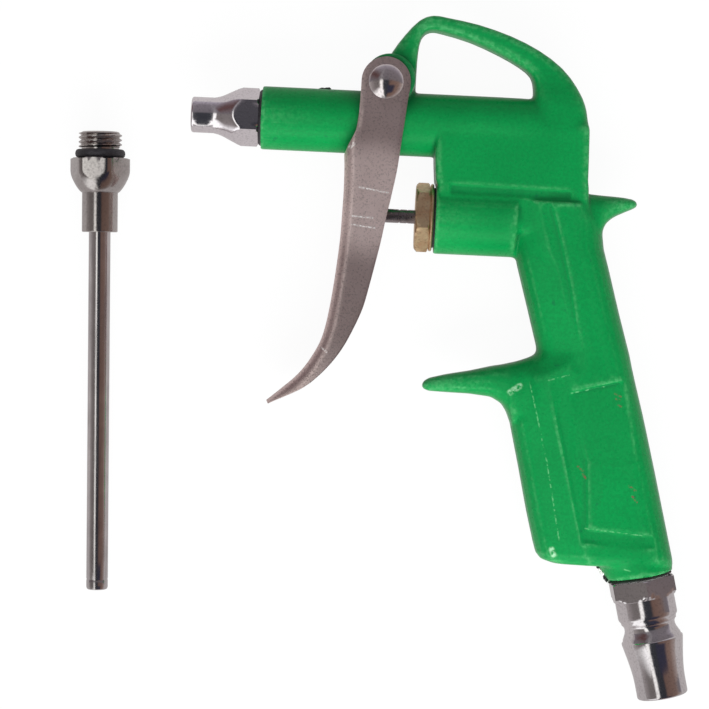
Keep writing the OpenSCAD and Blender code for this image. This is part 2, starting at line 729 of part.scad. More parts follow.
// The valve cartridge: hexagon, thread, cross-drilled neck, flange and seat
module gland_nut() {
    hex_x = valve_face - gasket_t - gland_hex_len;
    neck_d = cartridge_bore_d * 0.72;
    flange_d = cartridge_bore_d - 2 * run_fit;
    groove = flange_len * 0.56;
    groove_d = flange_d - 2 * groove * 0.8;
    lip_d = poppet_d * 0.83;
    guide_end = valve_face;
    color(yellow_zinc) in_gun_frame()
        difference() {
            union() {
                along_x(hex_x, -valve_drop) rotate([0, 0, hex_point / 2 + gland_turn])
                    hexagon(gland_hex_af, gland_hex_len, 0.9, 0.2);
                along_x(valve_face - 2 * gasket_t, -valve_drop)
                    rod(gland_thread_d, 2 * gasket_t + gland_thread_len);
                along_x(valve_face, -valve_drop) rod(neck_d, neck_end_x - valve_face);
                along_x(neck_end_x, -valve_drop) rod(flange_d, flange_len);
                along_x(neck_end_x, -valve_drop) rod(lip_d, flange_len + seat_lip);
            }
            along_x(hex_x - over, -valve_drop)
                rod(stem_d + 2 * run_fit, seat_x - hex_x + 2 * over);
            along_x(guide_end, -valve_drop) rod(flow_bore_d, seat_x - guide_end + over);
            along_x(neck_end_x + (flange_len - groove) / 2, -valve_drop)
                ring(flange_d + over, groove_d, groove);
            for (turn = [0, 90])
                along_x((thread_end_x + neck_end_x) / 2, -valve_drop)
                    rotate([90, 0, turn]) translate([0, 0, -gland_thread_d / 2])
                        rod(neck_len * 0.4, gland_thread_d);
        }
}
module gland_gasket() {
    color(black_rubber) in_gun_frame()
        along_x(valve_face - gasket_t, -valve_drop)
            ring(gland_thread_d * 1.18, gland_thread_d + 2 * seat_fit, gasket_t);
}
module stem_packing() {
    cord = (flow_bore_d - stem_d) / 2 - run_fit - seat_fit;
    color(black_rubber) in_gun_frame()
        along_x(valve_face + cord / 2 + seat_fit, -valve_drop) o_ring(stem_d + 2 * run_fit, cord);
}
module packing_washer() {
    cord = (flow_bore_d - stem_d) / 2;
    color(yellow_zinc) in_gun_frame()
        along_x(valve_face + cord + seat_fit, -valve_drop)
            ring(flow_bore_d - 2 * seat_fit, stem_d + 2 * run_fit, cord);
}
module cartridge_o_ring() {
    flange_d = cartridge_bore_d - 2 * run_fit;
    groove = flange_len * 0.56;
    cord = groove * 0.8;
    color(black_rubber) in_gun_frame()
        along_x(neck_end_x + flange_len / 2, -valve_drop)
            o_ring(flange_d - 2 * groove * 0.8 + seat_fit, cord);
}

// The stem and what it carries
stem_back_x = seat_x - seat_lip;
stem_front_x = lever_web_x() + face_gap;
stem_thread_d = stem_d * 0.74;
seal_t = stem_d * 0.32;
disc_t = stem_d * 0.34;
function lever_web_x() = lever_shares[3][0] * lever_reach + lever_sheet + face_gap;
module valve_stem() {
    nose = stem_d * 0.3;
    stem_len = stem_back_x - stem_front_x;
    tail_len = seat_lip + seal_t + disc_t + stem_d * 0.6;
    color(nickel) in_gun_frame() {
        along_x(stem_front_x + nose, -valve_drop) rod(stem_d, stem_len - nose);
        along_x(stem_front_x + nose, -valve_drop) rotate([180, 0, 0]) dome(stem_d, nose);
        along_x(stem_back_x, -valve_drop) rod(stem_thread_d, tail_len);
    }
}
module poppet_seal() {
    color(black_rubber) in_gun_frame()
        along_x(seat_x + face_gap, -valve_drop)
            ring(poppet_d, stem_thread_d + 2 * seat_fit, seal_t - face_gap);
}
module poppet_disc() {
    color(yellow_zinc) in_gun_frame()
        along_x(seat_x + seal_t, -valve_drop)
            ring(poppet_d, stem_thread_d + 2 * seat_fit, disc_t);
}
module poppet_nut() {
    nut_af = stem_d * 1.4;
    color(nickel) in_gun_frame()
        along_x(seat_x + seal_t + disc_t, -valve_drop)
            difference() {
                hexagon(nut_af, stem_d * 0.42, 0.3, 0.9);
                translate([0, 0, -over])
                    rod(stem_thread_d + 2 * seat_fit, stem_d * 0.42 + 2 * over);
            }
}

// The valve spring: one wire with closed ends, between the poppet and the chamber's end
spring_x = seat_x + seal_t + disc_t;
spring_len = chamber_end_x - spring_x;
wire_sides = 6;
rings_per_turn = 8;
end_pitch_share = 1.6;
function spring_at(t) =
    let (
        closed = 1 / spring_turns,
        end_pitch = spring_wire_d * end_pitch_share,
        open_len = spring_len - spring_wire_d - 2 * face_gap - 2 * end_pitch,
        along = t < closed ? t / closed * end_pitch
            : t > 1 - closed ? end_pitch + open_len + (t - 1 + closed) / closed * end_pitch
            : end_pitch + (t - closed) / (1 - 2 * closed) * open_len,
        a = 360 * spring_turns * t
    )
    [spring_x + spring_wire_d / 2 + face_gap + along, spring_d / 2 * cos(a) - valve_drop,
        spring_d / 2 * sin(a)];
function wire_ring(t) =
    let (
        a = 360 * spring_turns * t,
        mid = spring_at(t),
        radial = [0, cos(a), sin(a)],
        flat = [1, 0, 0]
    )
    [for (k = [0 : wire_sides - 1])
        mid + spring_wire_d / 2 * (cos(360 * k / wire_sides) * radial
            - sin(360 * k / wire_sides) * flat)];
spring_steps = spring_turns * rings_per_turn;
spring_self_gap = min([
    for (i = [0 : spring_steps])
        for (j = [i + rings_per_turn / 2 : spring_steps])
            if (j <= spring_steps)
                norm(spring_at(i / spring_steps) - spring_at(j / spring_steps))
]) - spring_wire_d;
module valve_spring() {
    echo(spring_least_gap = spring_self_gap);
    color(nickel) in_gun_frame()
        skin([for (i = [0 : spring_steps]) wire_ring(i / spring_steps)]);
}

// The inlet plug: hexagon, collar, locking groove, shoulder and tapered end
module inlet_plug() {
    r_collar = plug_collar_d / 2;
    r_neck = plug_neck_d / 2;
    r_shoulder = plug_shoulder_d / 2;
    r_nose = plug_nose_d / 2;
    edge = plug_nose_d * 0.04;
    color(chromed) in_gun_frame()
        difference() {
            union() {
                along_inlet(-inlet_thread_len)
                    rod(inlet_thread_d, inlet_thread_len + plug_hex_len / 2);
                along_inlet(tape_t) rotate([0, 0, hex_point / 2])
                    hexagon(plug_hex_af, plug_hex_len - tape_t, 0.2, 0.6);
                along_inlet(plug_hex_len)
                    rotate_extrude($fn = round_fn)
                        polygon(plug_profile(plug_len - plug_hex_len, r_collar, r_neck,
                            r_shoulder, r_nose, edge));
            }
            along_inlet(-inlet_thread_len - over)
                rod(plug_bore_d, plug_len + inlet_thread_len + 2 * over);
        }
}
function plug_profile(len, r_collar, r_neck, r_shoulder, r_nose, edge) =
    let (taper = r_shoulder - r_nose)
    [
        [0, -edge], [r_collar, -edge], [r_collar, len * 0.20], [r_neck, len * 0.255],
        [r_neck, len * 0.315], [r_neck + edge, len * 0.355],
        [r_shoulder - edge, len * 0.405], [r_shoulder, len * 0.415], [r_shoulder, len * 0.44],
        [r_nose + taper * 0.6, len * 0.554], [r_nose + taper * 0.3, len * 0.652],
        [r_nose + taper * 0.08, len * 0.754], [r_nose, len * 0.84], [r_nose, len - edge],
        [r_nose - edge, len], [0, len]
    ];
module inlet_seal() {
    color(white_tape) in_gun_frame()
        along_inlet(face_gap)
            ring(inlet_thread_d * 1.16, inlet_thread_d + 2 * seat_fit, tape_t - face_gap);
}

// The loose extension: it lies beside the gun, on its hexagon and on the end of its tube
module in_extension_frame() {
    translate([-middle[0] - ext_offset, -middle[1] - ext_start, ext_axis_z])
        rotate([0, 0, ext_turn]) rotate([ext_tilt, 0, 0]) rotate([90, 0, 0]) children();
}
module extension_fitting() {
    hex_r = ext_hex_r;
    sleeve_r = ext_sleeve_d / 2;
    thread_start = -ext_neck_len - ext_thread_len;
    neck_d = nozzle_thread_d * 0.86;
    edge = nozzle_thread_d * 0.06;
    sleeve_end = ext_hex_len + ext_dome_len + ext_sleeve_len;
    color(chromed) in_extension_frame()
        difference() {
            union() {
                translate([0, 0, thread_start])
                    rotate_extrude($fn = round_fn)
                        polygon([
                            [0, 0], [nozzle_thread_d / 2 - edge, 0], [nozzle_thread_d / 2, edge],
                            [nozzle_thread_d / 2, ext_thread_len], [neck_d / 2, ext_thread_len],
                            [neck_d / 2, ext_thread_len + ext_neck_len + edge],
                            [0, ext_thread_len + ext_neck_len + edge]
                        ]);
                intersection() {
                    rotate([0, 0, ext_roll])
                        cylinder(r = hex_r, h = ext_hex_len + ext_dome_len, $fn = hex_sides);
                    rotate_extrude($fn = round_fn)
                        polygon(concat(
                            [[0, 0], [hex_r - edge, 0], [hex_r, edge / 2]],
                            [for (k = [0 : 5])
                                [sleeve_r * 0.98 + (hex_r - sleeve_r * 0.98) * cos(k * 90 / 5),
                                    ext_hex_len + ext_dome_len * sin(k * 90 / 5)]],
                            [[0, ext_hex_len + ext_dome_len]]
                        ));
                }
                translate([0, 0, ext_hex_len])
                    rod(ext_sleeve_d, sleeve_end - ext_hex_len);
            }
            translate([0, 0, thread_start - over])
                rod(ext_tube_d - 2 * ext_wall, sleeve_end - thread_start + 2 * over);
            translate([0, 0, ext_hex_len])
                rod(ext_tube_d + 2 * seat_fit, sleeve_end - ext_hex_len + over);
        }
}
module extension_o_ring() {
    neck_d = nozzle_thread_d * 0.86;
    cord = ext_neck_len * 0.62;
    color(black_rubber) in_extension_frame()
        translate([0, 0, -cord / 2 - face_gap]) o_ring(neck_d + 2 * seat_fit, cord);
}
module extension_tube() {
    tube_len = ext_total - ext_hex_len;
    color(nickel) in_extension_frame()
        translate([0, 0, ext_hex_len])
            ring(ext_tube_d, ext_tube_d - 2 * ext_wall, tube_len);
}

gun_body();
short_nozzle();
nozzle_o_ring();
trigger_lever();
pivot_rivet();
gland_nut();
gland_gasket();
stem_packing();
packing_washer();
cartridge_o_ring();
valve_stem();
poppet_seal();
poppet_disc();
poppet_nut();
valve_spring();
inlet_plug();
inlet_seal();
extension_fitting();
extension_o_ring();
extension_tube();
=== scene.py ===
import json
import math

import bmesh
import bpy
import numpy as np
from mathutils import Euler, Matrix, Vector


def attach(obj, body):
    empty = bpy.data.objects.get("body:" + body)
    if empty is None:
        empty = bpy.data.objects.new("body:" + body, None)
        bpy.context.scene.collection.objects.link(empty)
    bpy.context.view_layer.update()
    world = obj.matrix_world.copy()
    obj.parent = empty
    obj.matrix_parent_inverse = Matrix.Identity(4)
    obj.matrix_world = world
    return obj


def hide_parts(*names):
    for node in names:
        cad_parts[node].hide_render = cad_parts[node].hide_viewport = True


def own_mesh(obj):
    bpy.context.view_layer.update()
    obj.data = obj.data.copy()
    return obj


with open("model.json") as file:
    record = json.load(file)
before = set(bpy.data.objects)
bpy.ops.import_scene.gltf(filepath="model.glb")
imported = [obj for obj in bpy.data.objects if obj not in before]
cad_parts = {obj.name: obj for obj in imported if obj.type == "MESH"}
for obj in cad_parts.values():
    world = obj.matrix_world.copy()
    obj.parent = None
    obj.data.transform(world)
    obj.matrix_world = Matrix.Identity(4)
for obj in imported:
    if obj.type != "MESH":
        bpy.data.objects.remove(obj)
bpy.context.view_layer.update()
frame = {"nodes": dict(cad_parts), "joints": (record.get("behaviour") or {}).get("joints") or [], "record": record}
nodes = frame["nodes"]
scene = bpy.context.scene

# Lengths below are millimetres in the gun's own frame: the barrel's axis is Y = 0 and Z = 0,
# and the rivet stands over X = 0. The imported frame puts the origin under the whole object.
MM = 0.001
joints = {joint["name"]: joint for joint in frame["joints"]}
mounts = {mount["name"]: mount for mount in frame["record"]["mounts"]}
PIVOT_Y = 10.4
GUN_ORIGIN = Vector(joints["trigger_pull"]["pos_m"]) / MM - Vector((0, PIVOT_Y, 0))


def gun_point(x, y, z=0.0):
    return (Vector((x, y, z)) + GUN_ORIGIN) * MM


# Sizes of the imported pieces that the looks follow
MUZZLE_X = -33.8
SOCKET_END_X = -21.8
VALVE_Y = -25.4
LEVER_DATUM_Y = 12.1
EAR_R = 6.7
EAR_Y = PIVOT_Y - LEVER_DATUM_Y
EAR_OUT = 10.6
SHEET = 1.4
LEVER_REACH = 29.3
LEVER_DROP = 90.5
RAKE = math.radians(13.3)
BOSS_END = (76.612, -121.3375)
THREAD_PITCH = 1.25
EXT_ALONG = -Vector(mounts["extension_thread"]["axis"])
EXT_START = Vector(mounts["extension_thread"]["pos_m"]) + EXT_ALONG * 4.744 * MM


# Mesh helpers

def new_object(name, verts, faces):
    mesh = bpy.data.meshes.new(name)
    mesh.from_pydata([tuple(v) for v in verts], [], faces)
    mesh.validate()
    mesh.update()
    obj = bpy.data.objects.new(name, mesh)
    scene.collection.objects.link(obj)
    return obj


def bake_modifiers(obj):
    graph = bpy.context.evaluated_depsgraph_get()
    baked = bpy.data.meshes.new_from_object(obj.evaluated_get(graph))
    old = obj.data
    obj.modifiers.clear()
    obj.data = baked
    baked.name = obj.name
    bpy.data.meshes.remove(old)
    return obj


def tidy_normals(obj, sharp=35):
    mesh = bmesh.new()
    mesh.from_mesh(obj.data)
    bmesh.ops.remove_doubles(mesh, verts=mesh.verts, dist=2e-6)
    bmesh.ops.recalc_face_normals(mesh, faces=mesh.faces)
    mesh.to_mesh(obj.data)
    mesh.free()
    obj.data.shade_smooth()
    obj.data.set_sharp_from_angle(angle=math.radians(sharp))
    return obj


def bevelled(obj, width, segments=2, angle=35):
    edge = obj.modifiers.new("edge", "BEVEL")
    edge.width = width * MM
    edge.segments = segments
    edge.limit_method = "ANGLE"
    edge.angle_limit = math.radians(angle)
    edge.use_clamp_overlap = True
    bake_modifiers(obj)
    return tidy_normals(obj, 50)


def coordinates(obj):
    co = np.zeros(len(obj.data.vertices) * 3)
    obj.data.vertices.foreach_get("co", co)
    return co.reshape(-1, 3)


def set_coordinates(obj, co):
    obj.data.vertices.foreach_set("co", co.astype(np.float32).ravel())
    obj.data.update()


def edge_pairs(obj):
    pairs = np.zeros(len(obj.data.edges) * 2, dtype=np.int64)
    obj.data.edges.foreach_get("vertices", pairs)
    return pairs.reshape(-1, 2)


def relaxed(co, pairs, factor, times):
    ends = np.concatenate([pairs[:, 0], pairs[:, 1]])
    others = np.concatenate([pairs[:, 1], pairs[:, 0]])
    count = np.bincount(ends, minlength=len(co)).clip(1)[:, None]
    for _ in range(times):
        total = np.stack([np.bincount(ends, co[others, k], len(co)) for k in range(3)], 1)
        co = co + factor * (total / count - co)
    return co


def ring_frame(kind):
    if kind == "x":
        return Vector((0, 0, -1)), Vector((0, 1, 0)), Vector((1, 0, 0))
    if kind == "inlet":
        across = Vector((math.cos(RAKE), math.sin(RAKE), 0))
        return across, Vector((0, 0, 1)), Vector((math.sin(RAKE), -math.cos(RAKE), 0))
    across = Vector((-EXT_ALONG.y, EXT_ALONG.x, 0)).normalized()
    return across, EXT_ALONG.cross(across), EXT_ALONG


def turned(name, start, kind, rows, sides=96, turn=0.0, closed=True, shape=None):
    """A turned piece: rows of (distance along the axis, radius) from a start point in metres.
    shape(s, angle, r) may change the radius, for a hexagon or a thread."""
    across, up, along = ring_frame(kind)
    verts = []
    for s, r in rows:
        for k in range(sides):
            angle = turn + 2 * math.pi * k / sides
            radius = shape(s, angle, r) if shape else r
            out = across * math.cos(angle) + up * math.sin(angle)
            verts.append(start + (along * s + out * radius) * MM)
    faces = []
    count = len(rows)
    for i in range(count if closed else count - 1):
        j = (i + 1) % count
        for k in range(sides):
            m = (k + 1) % sides
            faces.append((i * sides + k, i * sides + m, j * sides + m, j * sides + k))
    return new_object(name, verts, faces)


def hexagon_radius(angle, turn, flats):
    """The radius of a hexagon with a corner at the given turn."""
    folded = (angle - turn) % (math.pi / 3) - math.pi / 6
    return flats / 2 / math.cos(folded)


def corner_radius(flats):
    return flats / 2 / math.cos(math.pi / 6)


def dense(rows, step):
    """The same profile with rows no further apart than step along it."""
    out = []
    for a, b in zip(rows, rows[1:]):
        length = math.dist(a, b)
        count = max(1, int(math.ceil(length / step)))
        out += [(a[0] + (b[0] - a[0]) * i / count, a[1] + (b[1] - a[1]) * i / count)
                for i in range(count)]
    return out + [rows[-1]]


def arc(s, r, radius, start, end, steps=4):
    """Rows round a corner, from one angle in degrees to another."""
    return [(s + radius * math.cos(math.radians(start + (end - start) * i / steps)),
             r + radius * math.sin(math.radians(start + (end - start) * i / steps)))
            for i in range(steps + 1)]


# Material helpers

class Look:
    """One node material, with short calls for its textures."""

    def __init__(self, name):
        self.material = bpy.data.materials.new(name)
        self.material.use_nodes = True
        self.tree = self.material.node_tree
        self.tree.nodes.clear()
        self.out = self.node("ShaderNodeOutputMaterial")
        self.shader = self.node("ShaderNodeBsdfPrincipled")
        self.link(self.shader.outputs[0], self.out.inputs[0])
        self.place = self.node("ShaderNodeTexCoord").outputs["Object"]

    def node(self, kind, **values):
        made = self.tree.nodes.new(kind)
        for key, value in values.items():
            setattr(made, key, value)
        return made

    def link(self, a, b):
        self.tree.links.new(a, b)

    def put(self, socket, value):
        if isinstance(value, bpy.types.NodeSocket):
            self.link(value, socket)
        else:
            socket.default_value = value

    def set(self, **values):
        for key, value in values.items():
            self.put(self.shader.inputs[key.replace("_", " ")], value)

    def scaled(self, factors):
        mapping = self.node("ShaderNodeMapping")
        self.link(self.place, mapping.inputs["Vector"])
        mapping.inputs["Scale"].default_value = factors
        return mapping.outputs[0]

    def noise(self, scale, detail=3.0, rough=0.55, place=None):
        made = self.node("ShaderNodeTexNoise")
        self.link(place or self.place, made.inputs["Vector"])
        made.inputs["Scale"].default_value = scale
        made.inputs["Detail"].default_value = detail
        made.inputs["Roughness"].default_value = rough
        return made.outputs["Fac"]

    def ramp(self, value, stops):
        made = self.node("ShaderNodeValToRGB")
        self.link(value, made.inputs[0])
        line = made.color_ramp
        while len(line.elements) < len(stops):
            line.elements.new(0.5)
        for element, (position, colour) in zip(line.elements, stops):
            element.position = position
            element.color = (*colour, 1)
        return made.outputs[0]

    def band(self, value, low, high, to_low=0.0, to_high=1.0):
        made = self.node("ShaderNodeMapRange")
        made.interpolation_type = "SMOOTHSTEP"
        self.link(value, made.inputs[0])
        for index, number in enumerate((low, high, to_low, to_high)):
            made.inputs[index + 1].default_value = number
        return made.outputs[0]

    def math(self, operation, a, b=0.0, clamp=False):
        made = self.node("ShaderNodeMath", operation=operation, use_clamp=clamp)
        self.put(made.inputs[0], a)
        self.put(made.inputs[1], b)
        return made.outputs[0]

    def vector(self, operation, a, b=(0, 0, 0)):
        made = self.node("ShaderNodeVectorMath", operation=operation)
        self.put(made.inputs[0], a)
        self.put(made.inputs[1], b)
        return made.outputs["Value" if operation in ("DOT_PRODUCT", "LENGTH", "DISTANCE") else 0]

    def mix(self, factor, a, b):
        made = self.node("ShaderNodeMix", data_type="RGBA")
        self.put(made.inputs[0], factor)
        self.put(made.inputs[6], a if isinstance(a, bpy.types.NodeSocket) else (*a, 1))
        self.put(made.inputs[7], b if isinstance(b, bpy.types.NodeSocket) else (*b, 1))
        return made.outputs[2]

    def bump(self, height, strength, distance, normal=None):
        made = self.node("ShaderNodeBump")
        made.inputs["Strength"].default_value = strength
        made.inputs["Distance"].default_value = distance
        self.link(height, made.inputs["Height"])
        if normal:
            self.link(normal, made.inputs["Normal"])
        return made.outputs[0]

    def attribute(self, name):
        return self.node("ShaderNodeAttribute", attribute_name=name).outputs["Fac"]

    def stroke(self, start, end, width):
        """1 on a short scratch between two points, and 0 away from it. Height counts a quarter."""
        flat = 0.25
        core = 0.35
        start, end = (Vector((p.x, p.y, p.z * flat)) for p in (start, end))
        length = (end - start).length
        aim = (end - start).normalized()
        away = self.vector("SUBTRACT", self.scaled((1, 1, flat)), tuple(start))
        share = self.math("DIVIDE", self.vector("DOT_PRODUCT", away, tuple(aim)), length, True)
        foot = self.node("ShaderNodeVectorMath", operation="SCALE")
        foot.inputs[0].default_value = tuple(end - start)
        self.link(share, foot.inputs["Scale"])
        gap = self.vector("DISTANCE", away, foot.outputs[0])
        return self.band(gap, width * core, width, 1.0, 0.0)

    def strokes(self, marks, width):
        """The strongest of several strokes, given by points in the gun's frame."""
        total = None
        for start, end in marks:
            one = self.stroke(gun_point(*start), gun_point(*end), width)
            total = one if total is None else self.math("MAXIMUM", total, one)
        return total


# Marks on the paint, each from one point of the gun's frame to another. Widths are metres.
# Painted highlights along the rims of the panels, the spur's root and the boss, broken into dots
RIM_HIGHLIGHTS = [
    ((48.0, -68.7, 9.0), (53.5, -67.0, 9.0)), ((54.0, -72.0, 9.0), (63.5, -69.6, 9.0)),
    ((59.8, -108.5, 9.0), (75.5, -109.7, 9.0)), ((42.5, -67.6, 8.0), (48.6, -90.7, 8.0)),
    ((48.6, -90.7, 8.0), (53.1, -112.5, 8.0)), ((37.5, -72.7, 8.0), (40.7, -70.4, 8.0)),
    ((66.9, -118.1, 7.0), (69.6, -118.3, 7.0)), ((70.8, -119.2, 8.0), (72.7, -119.6, 8.0)),
]
RIM_HIGHLIGHT_WIDTH = 0.00026
GLINTS = [((37.8, -72.5, 8.0), (40.4, -70.6, 8.0)), ((51.2, -114.8, 6.0), (51.9, -116.4, 6.0))]
GLINT_WIDTH = 0.0011
# The paint behind the lever's ear lies in its shade
EAR_SHADE = [((-0.5, PIVOT_Y, 8.0), (0.5, PIVOT_Y, 8.0))]
EAR_SHADE_WIDTH = 0.012
SCUFFS = [
    ((66.2, -71.5, 9.6), (67.9, -72.2, 9.6)), ((66.6, -72.9, 9.6), (67.7, -73.2, 9.6)),
    ((67.3, -74.6, 9.6), (68.1, -75.0, 9.6)), ((57.0, -91.7, 9.6), (58.4, -92.8, 9.6)),
    ((58.5, -93.6, 9.6), (59.5, -95.2, 9.6)), ((71.2, -96.4, 9.6), (73.0, -97.6, 9.6)),
    ((72.2, -99.2, 9.6), (73.5, -100.6, 9.6)),
]
SCUFF_WIDTH = 0.00042


def green_paint():
    look = Look("green_paint")
    broad = look.noise(45, 2.0)
    grain = look.noise(900, 3.0)
    colour = look.ramp(broad, [(0.30, (0.0008, 0.202, 0.044)), (0.70, (0.0010, 0.238, 0.052))])
    cavity = look.attribute("cavity")
    # Painted shade: the paint is darkened in the hollows
    colour = look.mix(look.band(cavity, 0.12, 0.95, 0.0, 0.45), colour, (0.0015, 0.085, 0.026))
    # Painted highlights: the raised edges are lightened in broken spots, in place of the paint's gloss
    edge_highlight_spots = look.band(look.noise(700, 2.0), 0.35, 0.65, 0.2, 1.0)
    edge = look.math("MULTIPLY", look.band(cavity, -0.18, -0.85, 0.0, 0.42), edge_highlight_spots)
    colour = look.mix(edge, colour, (0.11, 0.42, 0.17))
    # Painted highlights: dotted light lines along the rims
    rim_highlights = look.strokes(RIM_HIGHLIGHTS, RIM_HIGHLIGHT_WIDTH)
    dotted_rim_highlights = look.math("MULTIPLY", rim_highlights, look.band(look.noise(1100, 2.0), 0.44, 0.60))
    colour = look.mix(look.math("MULTIPLY", dotted_rim_highlights, 0.45), colour, (0.20, 0.56, 0.26))
    glints = look.strokes(GLINTS, GLINT_WIDTH)
    glints = look.math("MULTIPLY", glints, look.band(look.noise(800, 2.0), 0.36, 0.60))
    colour = look.mix(look.math("MULTIPLY", glints, 0.7), colour, (0.42, 0.72, 0.46))
    shade = look.strokes(EAR_SHADE, EAR_SHADE_WIDTH)
    colour = look.mix(look.math("MULTIPLY", shade, 0.9), colour, (0.0012, 0.080, 0.024))
    mottle = look.band(look.noise(1300, 2.0, 0.6), 0.35, 0.65, 0.0, 0.30)
    colour = look.mix(mottle, colour, (0.0010, 0.120, 0.030))
    specks = look.band(look.noise(420, 1.0), 0.755, 0.785)
    colour = look.mix(look.math("MULTIPLY", specks, 0.4), colour, (0.004, 0.09, 0.04))
    scuffs = look.strokes(SCUFFS, SCUFF_WIDTH)
    broken = look.math("MULTIPLY", scuffs, look.band(look.noise(1500, 2.0), 0.40, 0.60))
    colour = look.mix(look.math("MULTIPLY", broken, 0.8), colour, (0.16, 0.06, 0.045))
    look.set(Base_Color=colour, Roughness=look.band(grain, 0.2, 0.8, 0.24, 0.40))
    look.set(Specular_IOR_Level=0.14, Sheen_Weight=0.10, Sheen_Roughness=0.3)
    peel = look.bump(look.noise(760, 2.0, 0.5), 0.30, 0.00010)
    fine = look.bump(grain, 0.10, 0.00004, peel)
    look.set(Normal=look.bump(broad, 0.12, 0.0004, fine))
    return look.material


def metal(name, dark, light, rough, tone=60, grit=1600, streaks=None, marks=None, bump=0.10,
          dirt=0.35):
    """Plated or bare metal. marks holds its scratches, their width, and where it is rubbed."""
    look = Look(name)
    blotch = look.noise(tone, 3.0, 0.6)
    grain = look.noise(grit, 2.0, 0.6, look.scaled(streaks) if streaks else None)
    colour = look.ramp(blotch, [(0.32, dark), (0.68, light)])
    colour = look.mix(look.band(grain, 0.48, 0.70, 0.0, dirt), colour, tuple(c * 0.55 for c in dark))
    roughness = look.band(grain, 0.25, 0.75, rough[0], rough[1])
    if marks:
        scratches, scratch_width, rubbed = marks
        rubbed_width = 0.014
        scratch = look.strokes(scratches, scratch_width)
        broken = look.band(look.noise(2200, 2.0, 0.6), 0.38, 0.56)
        scratch = look.math("MULTIPLY", scratch, broken)
        colour = look.mix(look.math("MULTIPLY", scratch, 0.85), colour, (0.95, 0.93, 0.90))
        # Around the scratches the plating is rubbed to a pale warm grey
        pale = look.math("MULTIPLY", look.strokes(rubbed, rubbed_width), 0.15)
        bare = look.math("MAXIMUM", look.math("MULTIPLY", scratch, 0.40), pale)
        look.set(Metallic=look.math("SUBTRACT", 1.0, bare))
    else:
        look.set(Metallic=1.0)
    look.set(Base_Color=colour, Roughness=roughness)
    look.set(Normal=look.bump(grain, bump, 0.00003))
    return look.material


def matte(name, low, high, rough, scale=500, bump=0.3):
    look = Look(name)
    grain = look.noise(scale, 4.0, 0.6)
    look.set(Base_Color=look.ramp(grain, [(0.3, low), (0.7, high)]))
    look.set(Roughness=look.band(grain, 0.2, 0.8, rough[0], rough[1]))
    look.set(Normal=look.bump(grain, bump, 0.00006))
    return look.material


# Scratches on the lever, and the stretch where it is rubbed, in the gun's frame
LEVER_SCRATCHES = [
    ((-5.9, -18.7, 10.6), (2.0, -19.9, 10.6)), ((-7.4, -26.6, 10.6), (-2.0, -26.9, 10.6)),
    ((-7.5, -28.9, 10.6), (-1.2, -29.6, 10.6)), ((-14.6, -62.4, 10.3), (-12.6, -63.9, 10.3)),
    ((-9.2, -7.9, 10.2), (-8.0, -6.7, 10.2)), ((-8.8, -8.2, 10.2), (-7.7, -7.1, 10.2)),
]
LEVER_SCRATCH_WIDTH = 0.00036
LEVER_RUBBED = [((-1.5, -17.0, 10.6), (-3.5, -27.0, 10.6))]

PAINT = green_paint()
# The others, each with its dark tone, its light tone, and its least and greatest roughness
CHROME = metal("chrome", (0.84, 0.80, 0.83), (0.94, 0.90, 0.93), (0.08, 0.15), bump=0.12)
COUPLER = metal("coupler_chrome", (0.66, 0.63, 0.64), (0.76, 0.73, 0.74), (0.09, 0.16), bump=0.12)
FITTING = metal("fitting_chrome", (0.48, 0.45, 0.44), (0.58, 0.55, 0.53), (0.12, 0.20), bump=0.12)
NICKEL = metal("nickel_steel", (0.79, 0.64, 0.61), (0.91, 0.75, 0.72), (0.36, 0.50), tone=70,
               grit=2000, marks=(LEVER_SCRATCHES, LEVER_SCRATCH_WIDTH, LEVER_RUBBED), bump=0.45,
               dirt=0.6)
RIVET = metal("rivet_steel", (0.70, 0.65, 0.65), (0.82, 0.77, 0.76), (0.10, 0.18), bump=0.12)
YELLOW = metal("yellow_zinc", (0.82, 0.54, 0.31), (0.95, 0.75, 0.47), (0.34, 0.50), tone=420,
               bump=0.25)
STEM = metal("stem_steel", (0.30, 0.26, 0.27), (0.42, 0.37, 0.37), (0.24, 0.38), bump=0.12)
SPRING = metal("spring_steel", (0.50, 0.49, 0.48), (0.58, 0.57, 0.56), (0.22, 0.32))
TUBE = metal("tube_steel", (0.56, 0.53, 0.53), (0.68, 0.65, 0.65), (0.12, 0.24), tone=160, grit=900,
             streaks=(1, 0.04, 1), bump=0.10)
SOCKET = metal("bare_thread", (0.42, 0.42, 0.43), (0.55, 0.55, 0.55), (0.25, 0.38))
RUBBER = matte("rubber", (0.012, 0.011, 0.014), (0.030, 0.028, 0.032), (0.42, 0.60))
TAPE = matte("seal_tape", (0.72, 0.71, 0.68), (0.88, 0.88, 0.86), (0.6, 0.8), 900, 0.5)
SEALANT = matte("sealant", (0.006, 0.010, 0.008), (0.020, 0.030, 0.022), (0.35, 0.6), 700, 0.5)


def dress(obj, material, body=None, replaces=()):
    obj.data.materials.clear()
    obj.data.materials.append(material)
    if body:
        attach(obj, body)
    if replaces:
        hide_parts(*replaces)
    return obj


# The casting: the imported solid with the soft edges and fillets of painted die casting

# Where the casting's forms run into each other in a large fillet: x, y and its reach
FILLETS = [(43, 4.5, 6), (50, 3, 7), (57, 3, 8), (39.5, 4, 6), (38, -30, 5), (62, -23, 5),
           (46, -65, 9), (41, -71, 6), (70, -117, 6)]


